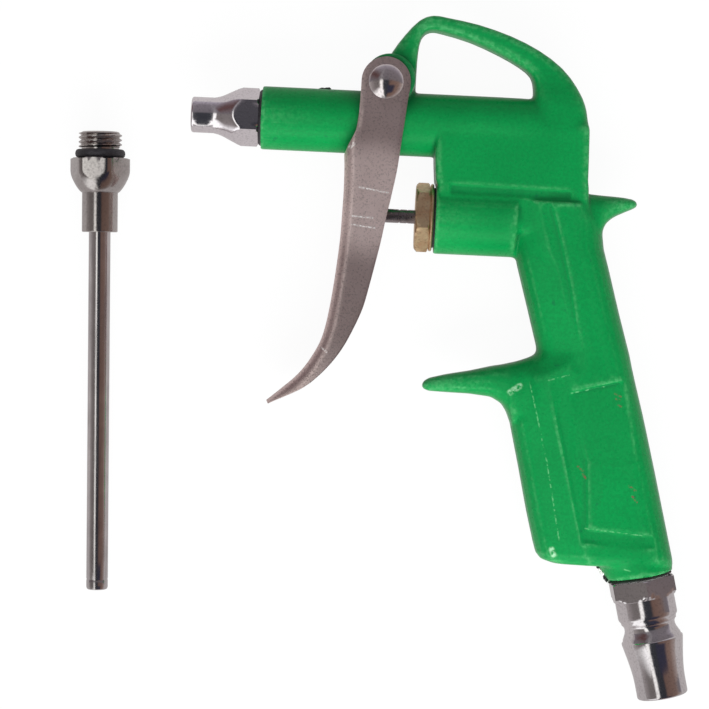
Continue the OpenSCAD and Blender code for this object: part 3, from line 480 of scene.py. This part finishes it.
def cast_body():
    voxel_size = 0.30
    kept_share = 0.24
    pull = 0.5
    fillet_times, edge_times, broad_times = 70, 9, 25
    cavity_depth = 0.12
    body = bpy.data.objects.new("casting", nodes["gun_body"].data.copy())
    scene.collection.objects.link(body)
    voxels = body.modifiers.new("voxels", "REMESH")
    voxels.mode = "VOXEL"
    voxels.voxel_size = voxel_size * MM
    bake_modifiers(body)
    co = coordinates(body)
    pairs = edge_pairs(body)
    soft = np.zeros((len(co), 1))
    for x, y, reach in FILLETS:
        away = co[:, :2] / MM - np.array([x + GUN_ORIGIN.x, y + GUN_ORIGIN.y])
        near = 1.5 - np.hypot(away[:, 0], away[:, 1]) / reach
        soft[:, 0] = np.maximum(soft[:, 0], near.clip(0, 1))
    co = relaxed(co, pairs, pull * soft, fillet_times)
    co = relaxed(co, pairs, pull, edge_times)
    # How far a place lies below or above its surroundings decides where the paint gets painted shade in the
    # hollows and painted highlights on the edges
    broad = relaxed(co, pairs, pull, broad_times)
    set_coordinates(body, co)
    normals = np.zeros(len(co) * 3)
    body.data.vertices.foreach_get("normal", normals)
    normals = normals.reshape(-1, 3)
    cavity = ((broad - co) * normals).sum(1) / (cavity_depth * MM)
    cavity = cavity.clip(-1, 1)
    # The nozzle's socket is bored to its size again. These sizes are metres.
    bore_r, bore_least, bore_most, seat = 0.0065, 0.0050, 0.0068, 0.0016
    offset = np.array(GUN_ORIGIN) * MM
    gun = co - offset
    radial = np.hypot(gun[:, 1], gun[:, 2])
    inside = (gun[:, 0] > MUZZLE_X * MM + seat) & (gun[:, 0] < SOCKET_END_X * MM)
    inside &= (radial > bore_least) & (radial < bore_most)
    stretch = np.where(inside, bore_r / radial.clip(1e-6), 1.0)
    gun[:, 1] *= stretch
    gun[:, 2] *= stretch
    set_coordinates(body, gun + offset)
    cavity[inside] = 0
    stored = body.data.attributes.new("cavity", "FLOAT", "POINT")
    stored.data.foreach_set("value", cavity.astype(np.float32))
    fewer = body.modifiers.new("fewer", "DECIMATE")
    fewer.ratio = kept_share
    bake_modifiers(body)
    body.data.shade_smooth()
    return dress(body, PAINT, "gun", ("gun_body",))


# Turned pieces

def thread_shape(depth, start, end, taper=0.5):
    """The radius of a thread that is cut into a row's radius between two places on the axis."""
    def shape(s, angle, r):
        if not start <= s <= end:
            return r
        turns = s / THREAD_PITCH - angle / (2 * math.pi)
        wave = abs((turns % 1.0) * 2 - 1)
        fade = min(1.0, (s - start) / taper, (end - s) / taper)
        return r - depth * (1 - min(1.0, wave * 1.25)) * max(fade, 0.0)
    return shape


def nozzle():
    """The short nozzle: a round end, a flare, a hexagon, and the thread in the muzzle."""
    length, tip_r, tip_len, flats = 18.606, 4.9, 6.1, 14.0
    corner = corner_radius(flats)
    shank = 9.5
    turn = math.pi / 6
    # The flare runs on into the hexagon's corners, so each flat starts with an arc
    flare = [(6.9, 5.04), (7.6, 5.22), (8.3, 5.46), (9.0, 5.76), (9.7, 6.10), (10.4, 6.46),
             (11.1, 6.80), (11.7, 7.09), (12.3, 7.38), (12.9, 7.68), (13.5, 7.93), (13.95, 8.083)]
    rows = [(0.35, 1.5), (0.12, 1.75), (0.0, 2.3), (0.0, 3.9)]
    rows += arc(0.62, tip_r - 0.62, 0.62, 180, 90, 5)
    rows += [(2.0, tip_r), (4.5, tip_r), (tip_len, tip_r)]
    rows += flare
    rows += [(15.2, corner), (16.6, corner), (length - 0.38, corner), (length, corner - 0.65)]
    rows += [(length, 6.9), (length, 5.4), (length + 0.5, 5.35), (length + 1.5, 5.95)]
    rows += [(length + 1.5 + 0.1 * i, 5.95) for i in range(1, 72)]
    rows += [(length + shank - 0.3, 5.5), (length + shank, 5.2), (length + shank, 3.0),
             (length + shank - 0.3, 3.0), (tip_len + 1, 3.0), (tip_len, 1.5)]
    thread = thread_shape(0.72, length + 1.5, length + shank - 0.2)

    def shape(s, angle, r):
        if r > 6.95 and s <= length:
            return min(r, hexagon_radius(angle, turn, flats))
        if r > 5.9 and s > length + 1.4:
            return thread(s, angle, r)
        return r

    piece = turned("nozzle_chrome", gun_point(-53.1, 0), "x", rows, 96, turn, shape=shape)
    tidy_normals(piece, 28)
    return dress(piece, CHROME, "nozzle", ("short_nozzle",))


def socket_thread():
    """The thread in the muzzle, which shows when the short nozzle is out."""
    depth = 0.35
    rows = [(0.0, 6.45), (0.2, 6.1)] + [(0.2 + 0.1 * i, 6.08) for i in range(1, 96)]
    rows += [(10.2, 6.1), (10.2, 6.6), (0.0, 6.6)]

    def shape(s, angle, r):
        if r > 6.09 or s > 10:
            return r
        turns = s / THREAD_PITCH - angle / (2 * math.pi)
        return r + depth * (1 - abs((turns % 1.0) * 2 - 1))

    piece = turned("socket_thread", gun_point(MUZZLE_X + 1.5, 0), "x", rows, 64, shape=shape)
    tidy_normals(piece, 28)
    return dress(piece, SOCKET, "gun")


def gland():
    """The cartridge: a hexagon with a washer face, and the threaded barrel that it screws in by."""
    flats = 17.0
    corner = corner_radius(flats)
    turn = math.radians(20)
    rows = [(0.35, 2.0), (0.0, 2.35), (0.0, 6.6), (0.0, corner - 1.15), (0.30, corner - 0.55),
            (0.72, corner), (2.1, corner), (3.42, corner), (3.74, corner - 0.5), (3.80, 8.62),
            (3.92, 8.62), (3.98, 8.95)]
    rows += arc(4.45, 8.85, 0.45, 160, 20, 6)
    rows += [(4.92, 8.6), (4.92, 8.32), (4.40, 8.32), (4.40, 6.95)]
    rows += [(4.5 + 0.16 * i, 6.95) for i in range(60)]
    rows += [(14.3, 5.9), (14.5, 4.4), (21.6, 4.4), (21.7, 6.0), (24.5, 6.0), (24.6, 3.85),
             (24.9, 3.7), (24.9, 3.05), (6.0, 3.02), (5.5, 2.0)]
    thread = thread_shape(0.70, 4.7, 14.2)

    def shape(s, angle, r):
        if s <= 3.76 and r > 7.5:
            return min(r, hexagon_radius(angle, turn, flats))
        if s < 14.25 and 6.9 < r < 7:
            return thread(s, angle, r)
        return r

    piece = turned("gland_brass", gun_point(9.8, VALVE_Y), "x", rows, 96, turn, shape=shape)
    tidy_normals(piece, 28)
    return dress(piece, YELLOW, "gun", ("gland_nut",))


def inlet_plug():
    """The coupler plug: a hexagon, a collar, the locking groove, a shoulder and a tapered end."""
    flats = 17.0
    corner = corner_radius(flats)
    hexagon_end, end, nose = 6.2, 33.8, 7.0
    rows = [(0.9, 4.0), (0.9, 7.2), (0.9, corner - 0.4), (1.15, corner), (3.2, corner),
            (5.15, corner), (5.7, corner - 0.75), (hexagon_end, 8.62), (6.24, 8.3), (6.3, 8.2)]
    rows += [(8.5, 8.2), (11.2, 8.2), (11.6, 8.06), (12.1, 7.7)]
    rows += arc(13.95, 8.35, 1.35, 215, 270, 5)
    rows += [(14.6, 7.02), (15.3, 7.22), (16.1, 7.62), (16.9, 8.02), (17.35, 8.10), (17.5, 8.16),
             (17.65, 8.40), (17.82, 8.5), (18.3, 8.48), (20.0, 8.18), (21.6, 7.88), (23.4, 7.58),
             (25.4, 7.29), (27.4, 7.08), (29.2, nose), (32.6, nose)]
    rows += arc(end - 0.65, nose - 0.65, 0.65, 90, 0, 5)
    rows += [(end, 5.4), (end - 0.15, 4.6), (end - 0.7, 4.1), (end - 1.0, 4.0), (20.0, 4.0)]
    turn = math.pi / 6

    def shape(s, angle, r):
        if s <= hexagon_end + 0.01 and r > 7.3:
            return min(r, hexagon_radius(angle, turn, flats))
        return r

    start = gun_point(*BOSS_END)
    piece = turned("plug_chrome", start, "inlet", dense(rows, 1.2), 96, turn, shape=shape)
    tidy_normals(piece, 28)
    shank = turned("plug_thread", start, "inlet",
                   [(-10.9, 4.0), (-10.9, 6.2), (-10.4, 6.5), (0.95, 6.5), (0.95, 4.0)], 64)
    tidy_normals(shank, 28)
    dress(shank, COUPLER, "gun")
    return dress(piece, COUPLER, "gun", ("inlet_plug",))


def thread_seal():
    """The bead of sealant and the torn tape between the boss and the plug's hexagon."""
    across, up, along = ring_frame("inlet")
    start = gun_point(*BOSS_END)
    rng = np.random.default_rng(11)
    sides, small = 120, 8
    wobble = np.convolve(rng.normal(size=sides * 3), np.ones(5) / 5, "same")[sides:2 * sides]
    verts, faces = [], []
    for k in range(sides):
        angle = 2 * math.pi * k / sides
        left = max(0.0, math.cos(angle - math.pi)) ** 6
        fat = 0.42 + 0.10 * wobble[k] + 0.28 * left
        centre_r = 8.15 + 0.18 * wobble[(k * 7) % sides] + 0.35 * left
        out = across * math.cos(angle) + up * math.sin(angle)
        for j in range(small):
            turn = 2 * math.pi * j / small
            offset = out * (centre_r + fat * math.cos(turn)) + along * (0.3 + 0.34 * math.sin(turn))
            verts.append(start + offset * MM)
    for k in range(sides):
        for j in range(small):
            a, b = k * small + j, k * small + (j + 1) % small
            c, d = ((k + 1) % sides) * small + (j + 1) % small, ((k + 1) % sides) * small + j
            faces.append((a, b, c, d))
    bead = tidy_normals(new_object("thread_sealant", verts, faces), 60)
    dress(bead, SEALANT, "gun")
    # Crumbs at the front of the boss: along the plug, out from its axis, and size
    white = [(-3.9, 10.75, 0.42), (-3.3, 10.55, 0.62), (-2.7, 10.25, 0.55), (-2.2, 9.95, 0.35),
             (0.1, 8.9, 0.5)]
    black = [(-5.0, 11.25, 0.45), (-4.4, 10.95, 0.50), (-1.7, 9.75, 0.45), (-1.2, 9.60, 0.62),
             (-0.4, 9.35, 0.5)]
    for name, bits, look, slot in (("torn_tape", white, TAPE, "seal_tape"),
                                   ("sealant_crumbs", black, SEALANT, "rubber")):
        flakes = bmesh.new()
        for index, (s, r, size) in enumerate(bits):
            centre = start + (along * s - across * r) * MM
            lump = bmesh.ops.create_icosphere(flakes, subdivisions=3, radius=size * MM)["verts"]
            for v in lump:
                x, y, z = v.co
                ripple = 1 + 0.30 * math.sin(7 * (x + z) / size / MM + index) + 0.12 * rng.normal()
                v.co = centre + up * x * 1.5 * ripple + along * y * ripple - across * z * 0.8 * ripple
        mesh = bpy.data.meshes.new(name)
        flakes.to_mesh(mesh)
        flakes.free()
        torn = bpy.data.objects.new(name, mesh)
        scene.collection.objects.link(torn)
        tidy_normals(torn, 60)
        dress(torn, look, "gun")
    dress(nodes["inlet_seal"], TAPE)


def stem():
    front, back = -8.81, 34.4
    rows = [(0.0, 0.001), (0.12, 0.7), (0.38, 1.25), (0.8, 1.66), (1.15, 1.9)]
    rows += [(14.0, 1.9), (14.1, 1.78), (14.5, 1.78), (14.6, 1.9), (16.2, 1.9), (16.3, 1.8),
             (16.6, 1.8), (16.7, 1.9)]
    rows += [(back - front, 1.9), (back - front, 1.4), (back - front + 5.1, 1.4),
             (back - front + 5.2, 0.001)]
    piece = turned("stem_rod", gun_point(front, VALVE_Y), "x", rows, 48, closed=False)
    tidy_normals(piece, 28)
    return dress(piece, STEM, "stem", ("valve_stem",))


def extension():
    """The loose nozzle: its fitting, whose thread runs from first to last, its ring and its tube."""
    start = EXT_START
    flats, corner = 15.0, 8.32
    sleeve = 4.95
    first, last = -7.304, -2.904
    rows = [(first + 0.5, 2.02), (first, 2.3), (first, 4.9), (first + 0.25, 5.35),
            (first + 0.45, 5.98)]
    rows += [(first + 0.45 + 0.08 * i, 5.98) for i in range(1, 50)]
    rows += [(last, 5.4), (last + 0.05, 5.16), (-0.02, 5.16), (0.0, 7.2), (0.0, corner - 0.8),
             (0.28, corner)]
    rows += [(1.5, corner), (3.5, corner), (4.3, 8.24), (4.9, 8.04), (5.6, 7.76),
             (6.4, 7.38), (7.3, 6.90), (8.0, 6.48), (8.6, 6.05), (9.1, 5.62), (9.45, 5.25)]
    rows += [(9.6, sleeve + 0.02), (9.75, sleeve), (20.1, sleeve)]
    rows += arc(20.2, sleeve - 0.3, 0.3, 90, 0, 4)
    rows += [(20.5, 3.6), (20.45, 3.04), (10.0, 3.04), (3.8, 3.04), (3.8, 2.02)]
    turn = math.radians(6)
    thread = thread_shape(0.78, first + 0.2, last + 0.2, 0.25)

    def shape(s, angle, r):
        if s < last and r > 5.9:
            return thread(s, angle, r)
        if 0 <= s < 9.5 and r > sleeve + 0.1:
            return min(r, hexagon_radius(angle, turn, flats))
        return r

    ring_steps = 20
    round_ring = [2 * math.pi * k / ring_steps for k in range(ring_steps)]
    ring = turned("extension_ring", start, "extension",
                  [(-1.22 + 1.2 * math.sin(a), 6.04 + 0.88 * math.cos(a)) for a in round_ring], 96)
    tidy_normals(ring, 60)
    dress(ring, RUBBER, "extension", ("extension_o_ring",))

    piece = turned("extension_chrome", start, "extension", rows, 96, turn, shape=shape)
    tidy_normals(piece, 28)
    dress(piece, FITTING, "extension", ("extension_fitting",))
    end = 120.3
    rows = [(3.85, 2.0), (3.85, 3.0)] + [(20 + i * 4.85, 3.0) for i in range(20)]
    rows += [(end - 3.1, 3.0), (end - 2.95, 2.93), (end - 2.65, 2.93), (end - 2.5, 3.0),
             (end - 0.7, 3.0), (end - 0.2, 2.88), (end, 2.68), (end, 2.15), (end - 0.2, 2.0),
             (60.0, 2.0)]
    tube = turned("extension_tube_steel", start, "extension", rows, 64)
    tidy_normals(tube, 28)
    dress(tube, TUBE, "extension", ("extension_tube",))


# The pressed lever: one bent sheet, drawn as a surface and thickened inwards

# Down the lever: x and y of the web and of the walls' back edge, as shares of the lever's reach
# and drop, and the half width as a share of the ears'
LEVER_ROWS = [
    (-0.358, -0.2430, 0.157, -0.2350, 1.00), (-0.350, -0.2830, 0.137, -0.2900, 1.00),
    (-0.347, -0.3550, 0.099, -0.3600, 1.00), (-0.352, -0.4200, 0.061, -0.4220, 1.00),
    (-0.358, -0.4870, 0.027, -0.4880, 1.00), (-0.375, -0.5570, -0.012, -0.5500, 1.00),
    (-0.399, -0.6330, -0.060, -0.6220, 1.00), (-0.424, -0.6960, -0.118, -0.6990, 1.00),
    (-0.456, -0.7570, -0.210, -0.7720, 0.99), (-0.496, -0.8040, -0.297, -0.8270, 0.97),
    (-0.557, -0.8450, -0.393, -0.8720, 0.93), (-0.635, -0.8850, -0.509, -0.9140, 0.86),
    (-0.724, -0.9190, -0.630, -0.9480, 0.77), (-0.833, -0.9510, -0.770, -0.9730, 0.64),
    (-0.940, -0.9810, -0.905, -0.9940, 0.42), (-0.985, -0.9930, -0.965, -1.0040, 0.24),
]
# The ears' edges, x and y from the top down to the foot, from the lever's datum
EAR_FRONT = [(-6.7, -1.7), (-6.72, -4.6), (-6.8, -7.3), (-6.95, -10.8), (-7.2, -13.2), (-7.5, -15.2)]
EAR_BACK = [(6.7, -1.7), (6.15, -6.3), (5.5, -12.85), (4.95, -17.6), (4.6, -21.3)]
EAR_FOOT_X, EAR_FOOT_Y = EAR_FRONT[-1]


def edge_x(edge, y):
    """Where an ear's edge lies at a given height."""
    return np.interp(-y, [-p[1] for p in edge], [p[0] for p in edge])


def between(rows, t):
    """A smooth curve through rows, at t from 0 to the number of rows less one."""
    i = min(int(t), len(rows) - 2)
    u = t - i
    near = [max(0, min(len(rows) - 1, k)) for k in (i - 1, i, i + 1, i + 2)]
    a, b, c, d = (np.array(rows[k], float) for k in near)
    return 0.5 * (2 * b + (c - a) * u + (2 * a - 5 * b + 4 * c - d) * u * u
                  + (3 * b - a - 3 * c + d) * u ** 3)


def lever():
    bend_r = 3.0
    blank_rise, blank_sweep = 6.3, 0.85
    ear_blend = 4.0
    crown_end = math.radians(86)
    wall_steps, bend_steps, web_steps, row_steps = 8, 9, 6, 5
    verts, faces, index = [], [], {}

    def add(key, x, y, z):
        index[key] = len(verts)
        verts.append(gun_point(x, y + LEVER_DATUM_Y, z))

    def skin(part, side, high, wide):
        """Faces between the rows of one side's points, turned the right way out."""
        for k in range(high):
            for j in range(wide):
                corners = ((k, j), (k, j + 1), (k + 1, j + 1), (k + 1, j))
                quad = list(dict.fromkeys(index[(part, side, *q)] for q in corners))
                if len(quad) > 2:
                    faces.append(tuple(quad if side == -1 else reversed(quad)))

    columns = 2 * (wall_steps + bend_steps + web_steps)
    rows = (len(LEVER_ROWS) - 1) * row_steps

    def half_section(depth, half):
        """Outer points of one half, from the wall's back edge to the middle of the web."""
        bend = min(bend_r, half * 0.8)
        drop = min(bend, depth * 0.92)
        points = [(depth + (drop - depth) * k / wall_steps, half) for k in range(wall_steps)]
        for k in range(bend_steps + 1):
            a = math.pi / 2 * k / bend_steps
            points.append((drop * (1 - math.sin(a)), half - bend * (1 - math.cos(a))))
        reach = half - bend
        points += [(0.0, reach * (1 - k / web_steps)) for k in range(1, web_steps + 1)]
        return points

    for i in range(rows + 1):
        fx, fy, bx, by, share = between(LEVER_ROWS, i / row_steps)
        front = np.array([fx * LEVER_REACH, fy * LEVER_DROP])
        back = np.array([bx * LEVER_REACH, by * LEVER_DROP])
        depth = max(float(np.linalg.norm(back - front)), 0.8)
        aim = (back - front) / np.linalg.norm(back - front)
        half = half_section(depth, share * EAR_OUT)
        whole = [(d, z) for d, z in half] + [(d, -z) for d, z in reversed(half[:-1])]
        for j, (d, z) in enumerate(whole):
            p = front + aim * d
            add((i, j), p[0], p[1], z)
    for i in range(rows):
        for j in range(columns):
            corners = ((i, j), (i, j + 1), (i + 1, j + 1), (i + 1, j))
            faces.append(tuple(index[corner] for corner in corners))
    # The ears rise from the walls: the blank's edge sweeps from the web round the bend
    lift_steps, ear_steps, crown_steps = 5, 12, 10
    wall_and_bend = wall_steps + bend_steps
    for side in (1, -1):
        def column(j):
            return j if side == 1 else columns - j
        tops = {}
        for j in range(wall_and_bend + 1):
            x, y, z = verts[index[(0, column(j))]] / MM - GUN_ORIGIN
            y -= LEVER_DATUM_Y
            share = 0.0 if j <= wall_steps else (j - wall_steps) / bend_steps
            lift = blank_rise * (1 - math.sin(math.pi / 2 * share)) ** blank_sweep
            tops[j] = (x, y, z, lift)
        for k in range(1, lift_steps + 1):
            for j in range(wall_and_bend):
                x, y, z, lift = tops[j]
                if j <= wall_steps:
                    y_now = y + (EAR_FOOT_Y - y) * k / lift_steps
                    back = edge_x(EAR_BACK, y_now)
                    x = EAR_FOOT_X + (back - EAR_FOOT_X) * (1 - j / wall_steps)
                else:
                    y_now = y + lift * k / lift_steps
                add(("lift", side, k, j), x, y_now, z)
            index[("lift", side, k, wall_and_bend)] = index[(0, column(wall_and_bend))]
        for j in range(wall_and_bend + 1):
            index[("lift", side, 0, j)] = index[(0, column(j))]
        skin("lift", side, lift_steps, wall_and_bend)
        for j in range(wall_steps + 1):
            index[("ear", side, 0, j)] = index[("lift", side, lift_steps, j)]
        total = ear_steps + crown_steps
        for k in range(1, total + 1):
            if k <= ear_steps:
                y = EAR_FOOT_Y + (EAR_Y - EAR_FOOT_Y) * k / ear_steps
                front = edge_x(EAR_FRONT, y)
                back = edge_x(EAR_BACK, y)
                blend = max(0.0, 1 + (y - EAR_Y) / ear_blend)
                front = front * (1 - blend) - EAR_R * blend
                back = back * (1 - blend) + EAR_R * blend
            else:
                a = crown_end * (k - ear_steps) / crown_steps
                y = EAR_Y + EAR_R * math.sin(a)
                front, back = -EAR_R * math.cos(a), EAR_R * math.cos(a)
            for j in range(wall_steps + 1):
                add(("ear", side, k, j), back + (front - back) * j / wall_steps, y, side * EAR_OUT)
        skin("ear", side, total, wall_steps)
    piece = new_object("lever_sheet", verts, faces)
    mesh = bmesh.new()
    mesh.from_mesh(piece.data)
    bmesh.ops.remove_doubles(mesh, verts=mesh.verts, dist=1e-6)
    bmesh.ops.recalc_face_normals(mesh, faces=mesh.faces)
    # The web has to face forward, so that the sheet thickens inwards
    web = gun_point(-10.4, -30, 0)
    middle = min(mesh.faces, key=lambda face: (face.calc_center_median() - web).length)
    if middle.normal.x > 0:
        bmesh.ops.reverse_faces(mesh, faces=mesh.faces)
    mesh.to_mesh(piece.data)
    mesh.free()
    sheet = piece.modifiers.new("sheet", "SOLIDIFY")
    sheet.thickness = SHEET * MM
    sheet.offset = -1
    sheet.use_even_offset = True
    sheet.thickness_clamp = 1.0
    bake_modifiers(piece)
    bevelled(piece, 0.28, 3, 50)
    return dress(piece, NICKEL, "lever", ("trigger_lever",))


def casting_flash():
    """The small dark sliver of flash on top of the barrel."""
    rng = np.random.default_rng(4)
    verts, faces = [], []
    steps, sides = 9, 8
    for i in range(steps):
        t = i / (steps - 1)
        x = -18.6 + 3.6 * t
        tall = 0.18 + 0.62 * t ** 0.6 * (1 if t < 0.95 else 0.5) + 0.06 * rng.normal()
        for k in range(sides):
            a = 2 * math.pi * k / sides
            verts.append(gun_point(x, 8.55 + tall * math.cos(a), 0.9 * math.sin(a)))
    for i in range(steps - 1):
        for k in range(sides):
            faces.append((i * sides + k, i * sides + (k + 1) % sides,
                          (i + 1) * sides + (k + 1) % sides, (i + 1) * sides + k))
    faces.append(tuple(range(sides)))
    faces.append(tuple((steps - 1) * sides + k for k in reversed(range(sides))))
    piece = tidy_normals(new_object("casting_flash", verts, faces), 60)
    return dress(piece, SEALANT, "gun")


def spring_coil():
    coil = bpy.data.objects.new("spring_coil", nodes["valve_spring"].data.copy())
    scene.collection.objects.link(coil)
    coil.data.shade_smooth()
    dress(coil, SPRING, "gun", ("valve_spring",))
    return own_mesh(coil)


cast_body()
nozzle()
socket_thread()
gland()
inlet_plug()
thread_seal()
stem()
extension()
lever()
casting_flash()
spring_coil()

for name in ("nozzle_o_ring", "gland_gasket", "stem_packing", "cartridge_o_ring", "poppet_seal"):
    dress(nodes[name], RUBBER)
for name in ("packing_washer", "poppet_disc"):
    dress(nodes[name], YELLOW)
dress(nodes["poppet_nut"], STEM)
dress(nodes["pivot_rivet"], RIVET)

# Floor, light and camera

def floor():
    size = 4.0
    verts = [Vector((x * size, y * size, 0)) for x, y in ((-1, -1), (1, -1), (1, 1), (-1, 1))]
    plane = new_object("floor", verts, [(0, 1, 2, 3)])
    material = bpy.data.materials.new("floor")
    material.use_nodes = True
    tree = material.node_tree
    tree.nodes.clear()
    out = tree.nodes.new("ShaderNodeOutputMaterial")
    path = tree.nodes.new("ShaderNodeLightPath")
    matt = tree.nodes.new("ShaderNodeBsdfDiffuse")
    matt.inputs[0].default_value = (0.90, 0.90, 0.90, 1)

    def glow(colour):
        made = tree.nodes.new("ShaderNodeEmission")
        made.inputs[0].default_value = (*colour, 1)
        return made.outputs[0]

    def mixed(factor, a, b):
        made = tree.nodes.new("ShaderNodeMixShader")
        tree.links.new(factor, made.inputs[0])
        tree.links.new(a, made.inputs[1])
        tree.links.new(b, made.inputs[2])
        return made.outputs[0]

    share = tree.nodes.new("ShaderNodeMath")
    share.operation = "MULTIPLY"
    share.inputs[1].default_value = 0.94
    tree.links.new(path.outputs["Is Camera Ray"], share.inputs[0])
    mirrored = mixed(path.outputs["Is Glossy Ray"], matt.outputs[0], glow((0.56, 0.53, 0.53)))
    tree.links.new(mixed(share.outputs[0], mirrored, glow((1, 1, 1))), out.inputs[0])
    plane.data.materials.append(material)


def studio():
    """A white studio whose ceiling, as the metal mirrors it, is grey, white, dark and brown."""
    world = bpy.data.worlds.new("studio")
    scene.world = world
    world.use_nodes = True
    tree = world.node_tree
    tree.nodes.clear()

    def node(kind, **values):
        made = tree.nodes.new(kind)
        for key, value in values.items():
            setattr(made, key, value)
        return made

    def ramp(source, stops):
        made = node("ShaderNodeValToRGB")
        tree.links.new(source, made.inputs[0])
        line = made.color_ramp
        while len(line.elements) < len(stops):
            line.elements.new(0.5)
        for element, (degrees, colour) in zip(line.elements, stops):
            element.position = degrees / 180 + 0.5
            element.color = (*colour, 1)
        return made.outputs[0]

    way = node("ShaderNodeTexCoord").outputs["Generated"]
    parts = node("ShaderNodeSeparateXYZ")
    tree.links.new(way, parts.inputs[0])

    def tilt(axis, base=None):
        made = node("ShaderNodeMath", operation="ARCTAN2")
        tree.links.new(parts.outputs[axis], made.inputs[0])
        tree.links.new(base or parts.outputs["Z"], made.inputs[1])
        scaled = node("ShaderNodeMath", operation="MULTIPLY_ADD")
        tree.links.new(made.outputs[0], scaled.inputs[0])
        scaled.inputs[1].default_value = 1 / math.pi
        scaled.inputs[2].default_value = 0.5
        return scaled.outputs[0]

    def mixed(factor, a, b):
        made = node("ShaderNodeMix", data_type="RGBA")
        tree.links.new(factor, made.inputs[0])
        tree.links.new(a, made.inputs[6])
        if isinstance(b, bpy.types.NodeSocket):
            tree.links.new(b, made.inputs[7])
        else:
            made.inputs[7].default_value = (*b, 1)
        return made.outputs[2]

    def times(a, b):
        made = node("ShaderNodeMath", operation="MULTIPLY")
        tree.links.new(a, made.inputs[0])
        tree.links.new(b, made.inputs[1])
        return made.outputs[0]

    def patch(source, *degrees):
        """1 between the two middle angles, falling to 0 at the first and at the last."""
        black, white = (0, 0, 0), (1, 1, 1)
        return ramp(source, list(zip(degrees, (black, white, white, black))))

    # What the metal mirrors, by the tilt of the way to it: a ceiling with a strip light, and over
    # the gun's top and foot the far sides
    x_tilt, y_tilt = tilt("X"), tilt("Y")
    side = ramp(x_tilt, [
        (-90, (0.42, 0.39, 0.38)), (-72, (0.30, 0.27, 0.27)), (-58, (0.21, 0.19, 0.185)),
        (-33, (0.19, 0.17, 0.165)), (-29, (1.2, 1.2, 1.17)), (-18, (1.2, 1.2, 1.17)),
        (-14, (0.040, 0.042, 0.050)), (12, (0.035, 0.037, 0.045)), (20, (0.17, 0.105, 0.085)),
        (62, (0.22, 0.145, 0.120)), (80, (0.36, 0.29, 0.27)), (90, (0.46, 0.41, 0.39)),
    ])
    far = ramp(y_tilt, [
        (-90, (1, 1, 1)), (-80, (0.2, 0.2, 0.2)), (-70, (0, 0, 0)), (3, (0, 0, 0)),
        (14, (0.9, 0.9, 0.9)), (90, (1, 1, 1)),
    ])
    far_tone = ramp(y_tilt, [
        (-90, (0.62, 0.60, 0.61)), (-75, (0.30, 0.29, 0.30)), (0, (0.10, 0.09, 0.10)),
        (12, (0.17, 0.155, 0.17)), (60, (0.20, 0.18, 0.20)), (80, (0.32, 0.29, 0.33)),
        (90, (0.42, 0.40, 0.44)),
    ])
    # A window in front and below and a brown shelf in front and above, by compass and height, and a
    # dark cloth, by both tilts
    forward = node("ShaderNodeMath", operation="MULTIPLY")
    tree.links.new(parts.outputs["X"], forward.inputs[0])
    forward.inputs[1].default_value = -1.0
    compass = tilt("Y", forward.outputs[0])
    height = node("ShaderNodeMath", operation="MULTIPLY_ADD")
    tree.links.new(parts.outputs["Z"], height.inputs[0])
    height.inputs[1].default_value = 0.5
    height.inputs[2].default_value = 0.5
    low = patch(height.outputs[0], -8, 0, 62, 68)
    window = times(patch(compass, -80, -74, -52, -36), low)
    shelf = times(patch(compass, 5, 30, 36, 62), low)
    cloth = times(patch(x_tilt, 6, 12, 40, 50), patch(y_tilt, -60, -54, -20, -13))
    mirrored = mixed(shelf, mixed(far, side, far_tone), (0.11, 0.06, 0.06))
    mirrored = mixed(cloth, mirrored, (0.035, 0.035, 0.060))
    mirrored = mixed(window, mirrored, (1.25, 1.25, 1.25))
    path = node("ShaderNodeLightPath")
    seen = node("ShaderNodeMix", data_type="RGBA")
    tree.links.new(path.outputs["Is Glossy Ray"], seen.inputs[0])
    seen.inputs[6].default_value = (0.62, 0.62, 0.63, 1)
    tree.links.new(mirrored, seen.inputs[7])
    white = node("ShaderNodeMix", data_type="RGBA")
    tree.links.new(path.outputs["Is Camera Ray"], white.inputs[0])
    tree.links.new(seen.outputs[2], white.inputs[6])
    white.inputs[7].default_value = (1, 1, 1, 1)
    back = node("ShaderNodeBackground")
    tree.links.new(white.outputs[2], back.inputs[0])
    tree.links.new(back.outputs[0], node("ShaderNodeOutputWorld").inputs[0])


def lamp(name, place, aim, size, watts):
    light = bpy.data.lights.new(name, "AREA")
    light.shape = "RECTANGLE"
    light.size, light.size_y = size
    light.energy = watts
    obj = bpy.data.objects.new(name, light)
    scene.collection.objects.link(obj)
    obj.location = place
    obj.rotation_euler = (Vector(aim) - Vector(place)).to_track_quat("-Z", "Y").to_euler()
    obj.visible_glossy = False


def camera():
    """The photograph's view from straight above, with the picture's width in millimetres."""
    sensor, distance, picture_width = 36, 600, 195.9
    lens = bpy.data.cameras.new("camera")
    lens.sensor_width = sensor
    lens.lens = sensor * distance / picture_width
    lens.clip_start, lens.clip_end = 0.01, 10
    eye = bpy.data.objects.new("camera", lens)
    scene.collection.objects.link(eye)
    eye.location = gun_point(-5.102, -64.154, distance)
    eye.rotation_euler = Euler((0, 0, math.radians(2.7)))
    scene.camera = eye


floor()
studio()
lamp("key", (0.10, -0.75, 0.55), (0, 0, 0.01), (0.9, 0.5), 11.5)
lamp("fill", (0.0, -0.12, 1.0), (0, 0, 0.01), (0.6, 0.6), 2.0)
camera()
scene.view_settings.view_transform = "Standard"
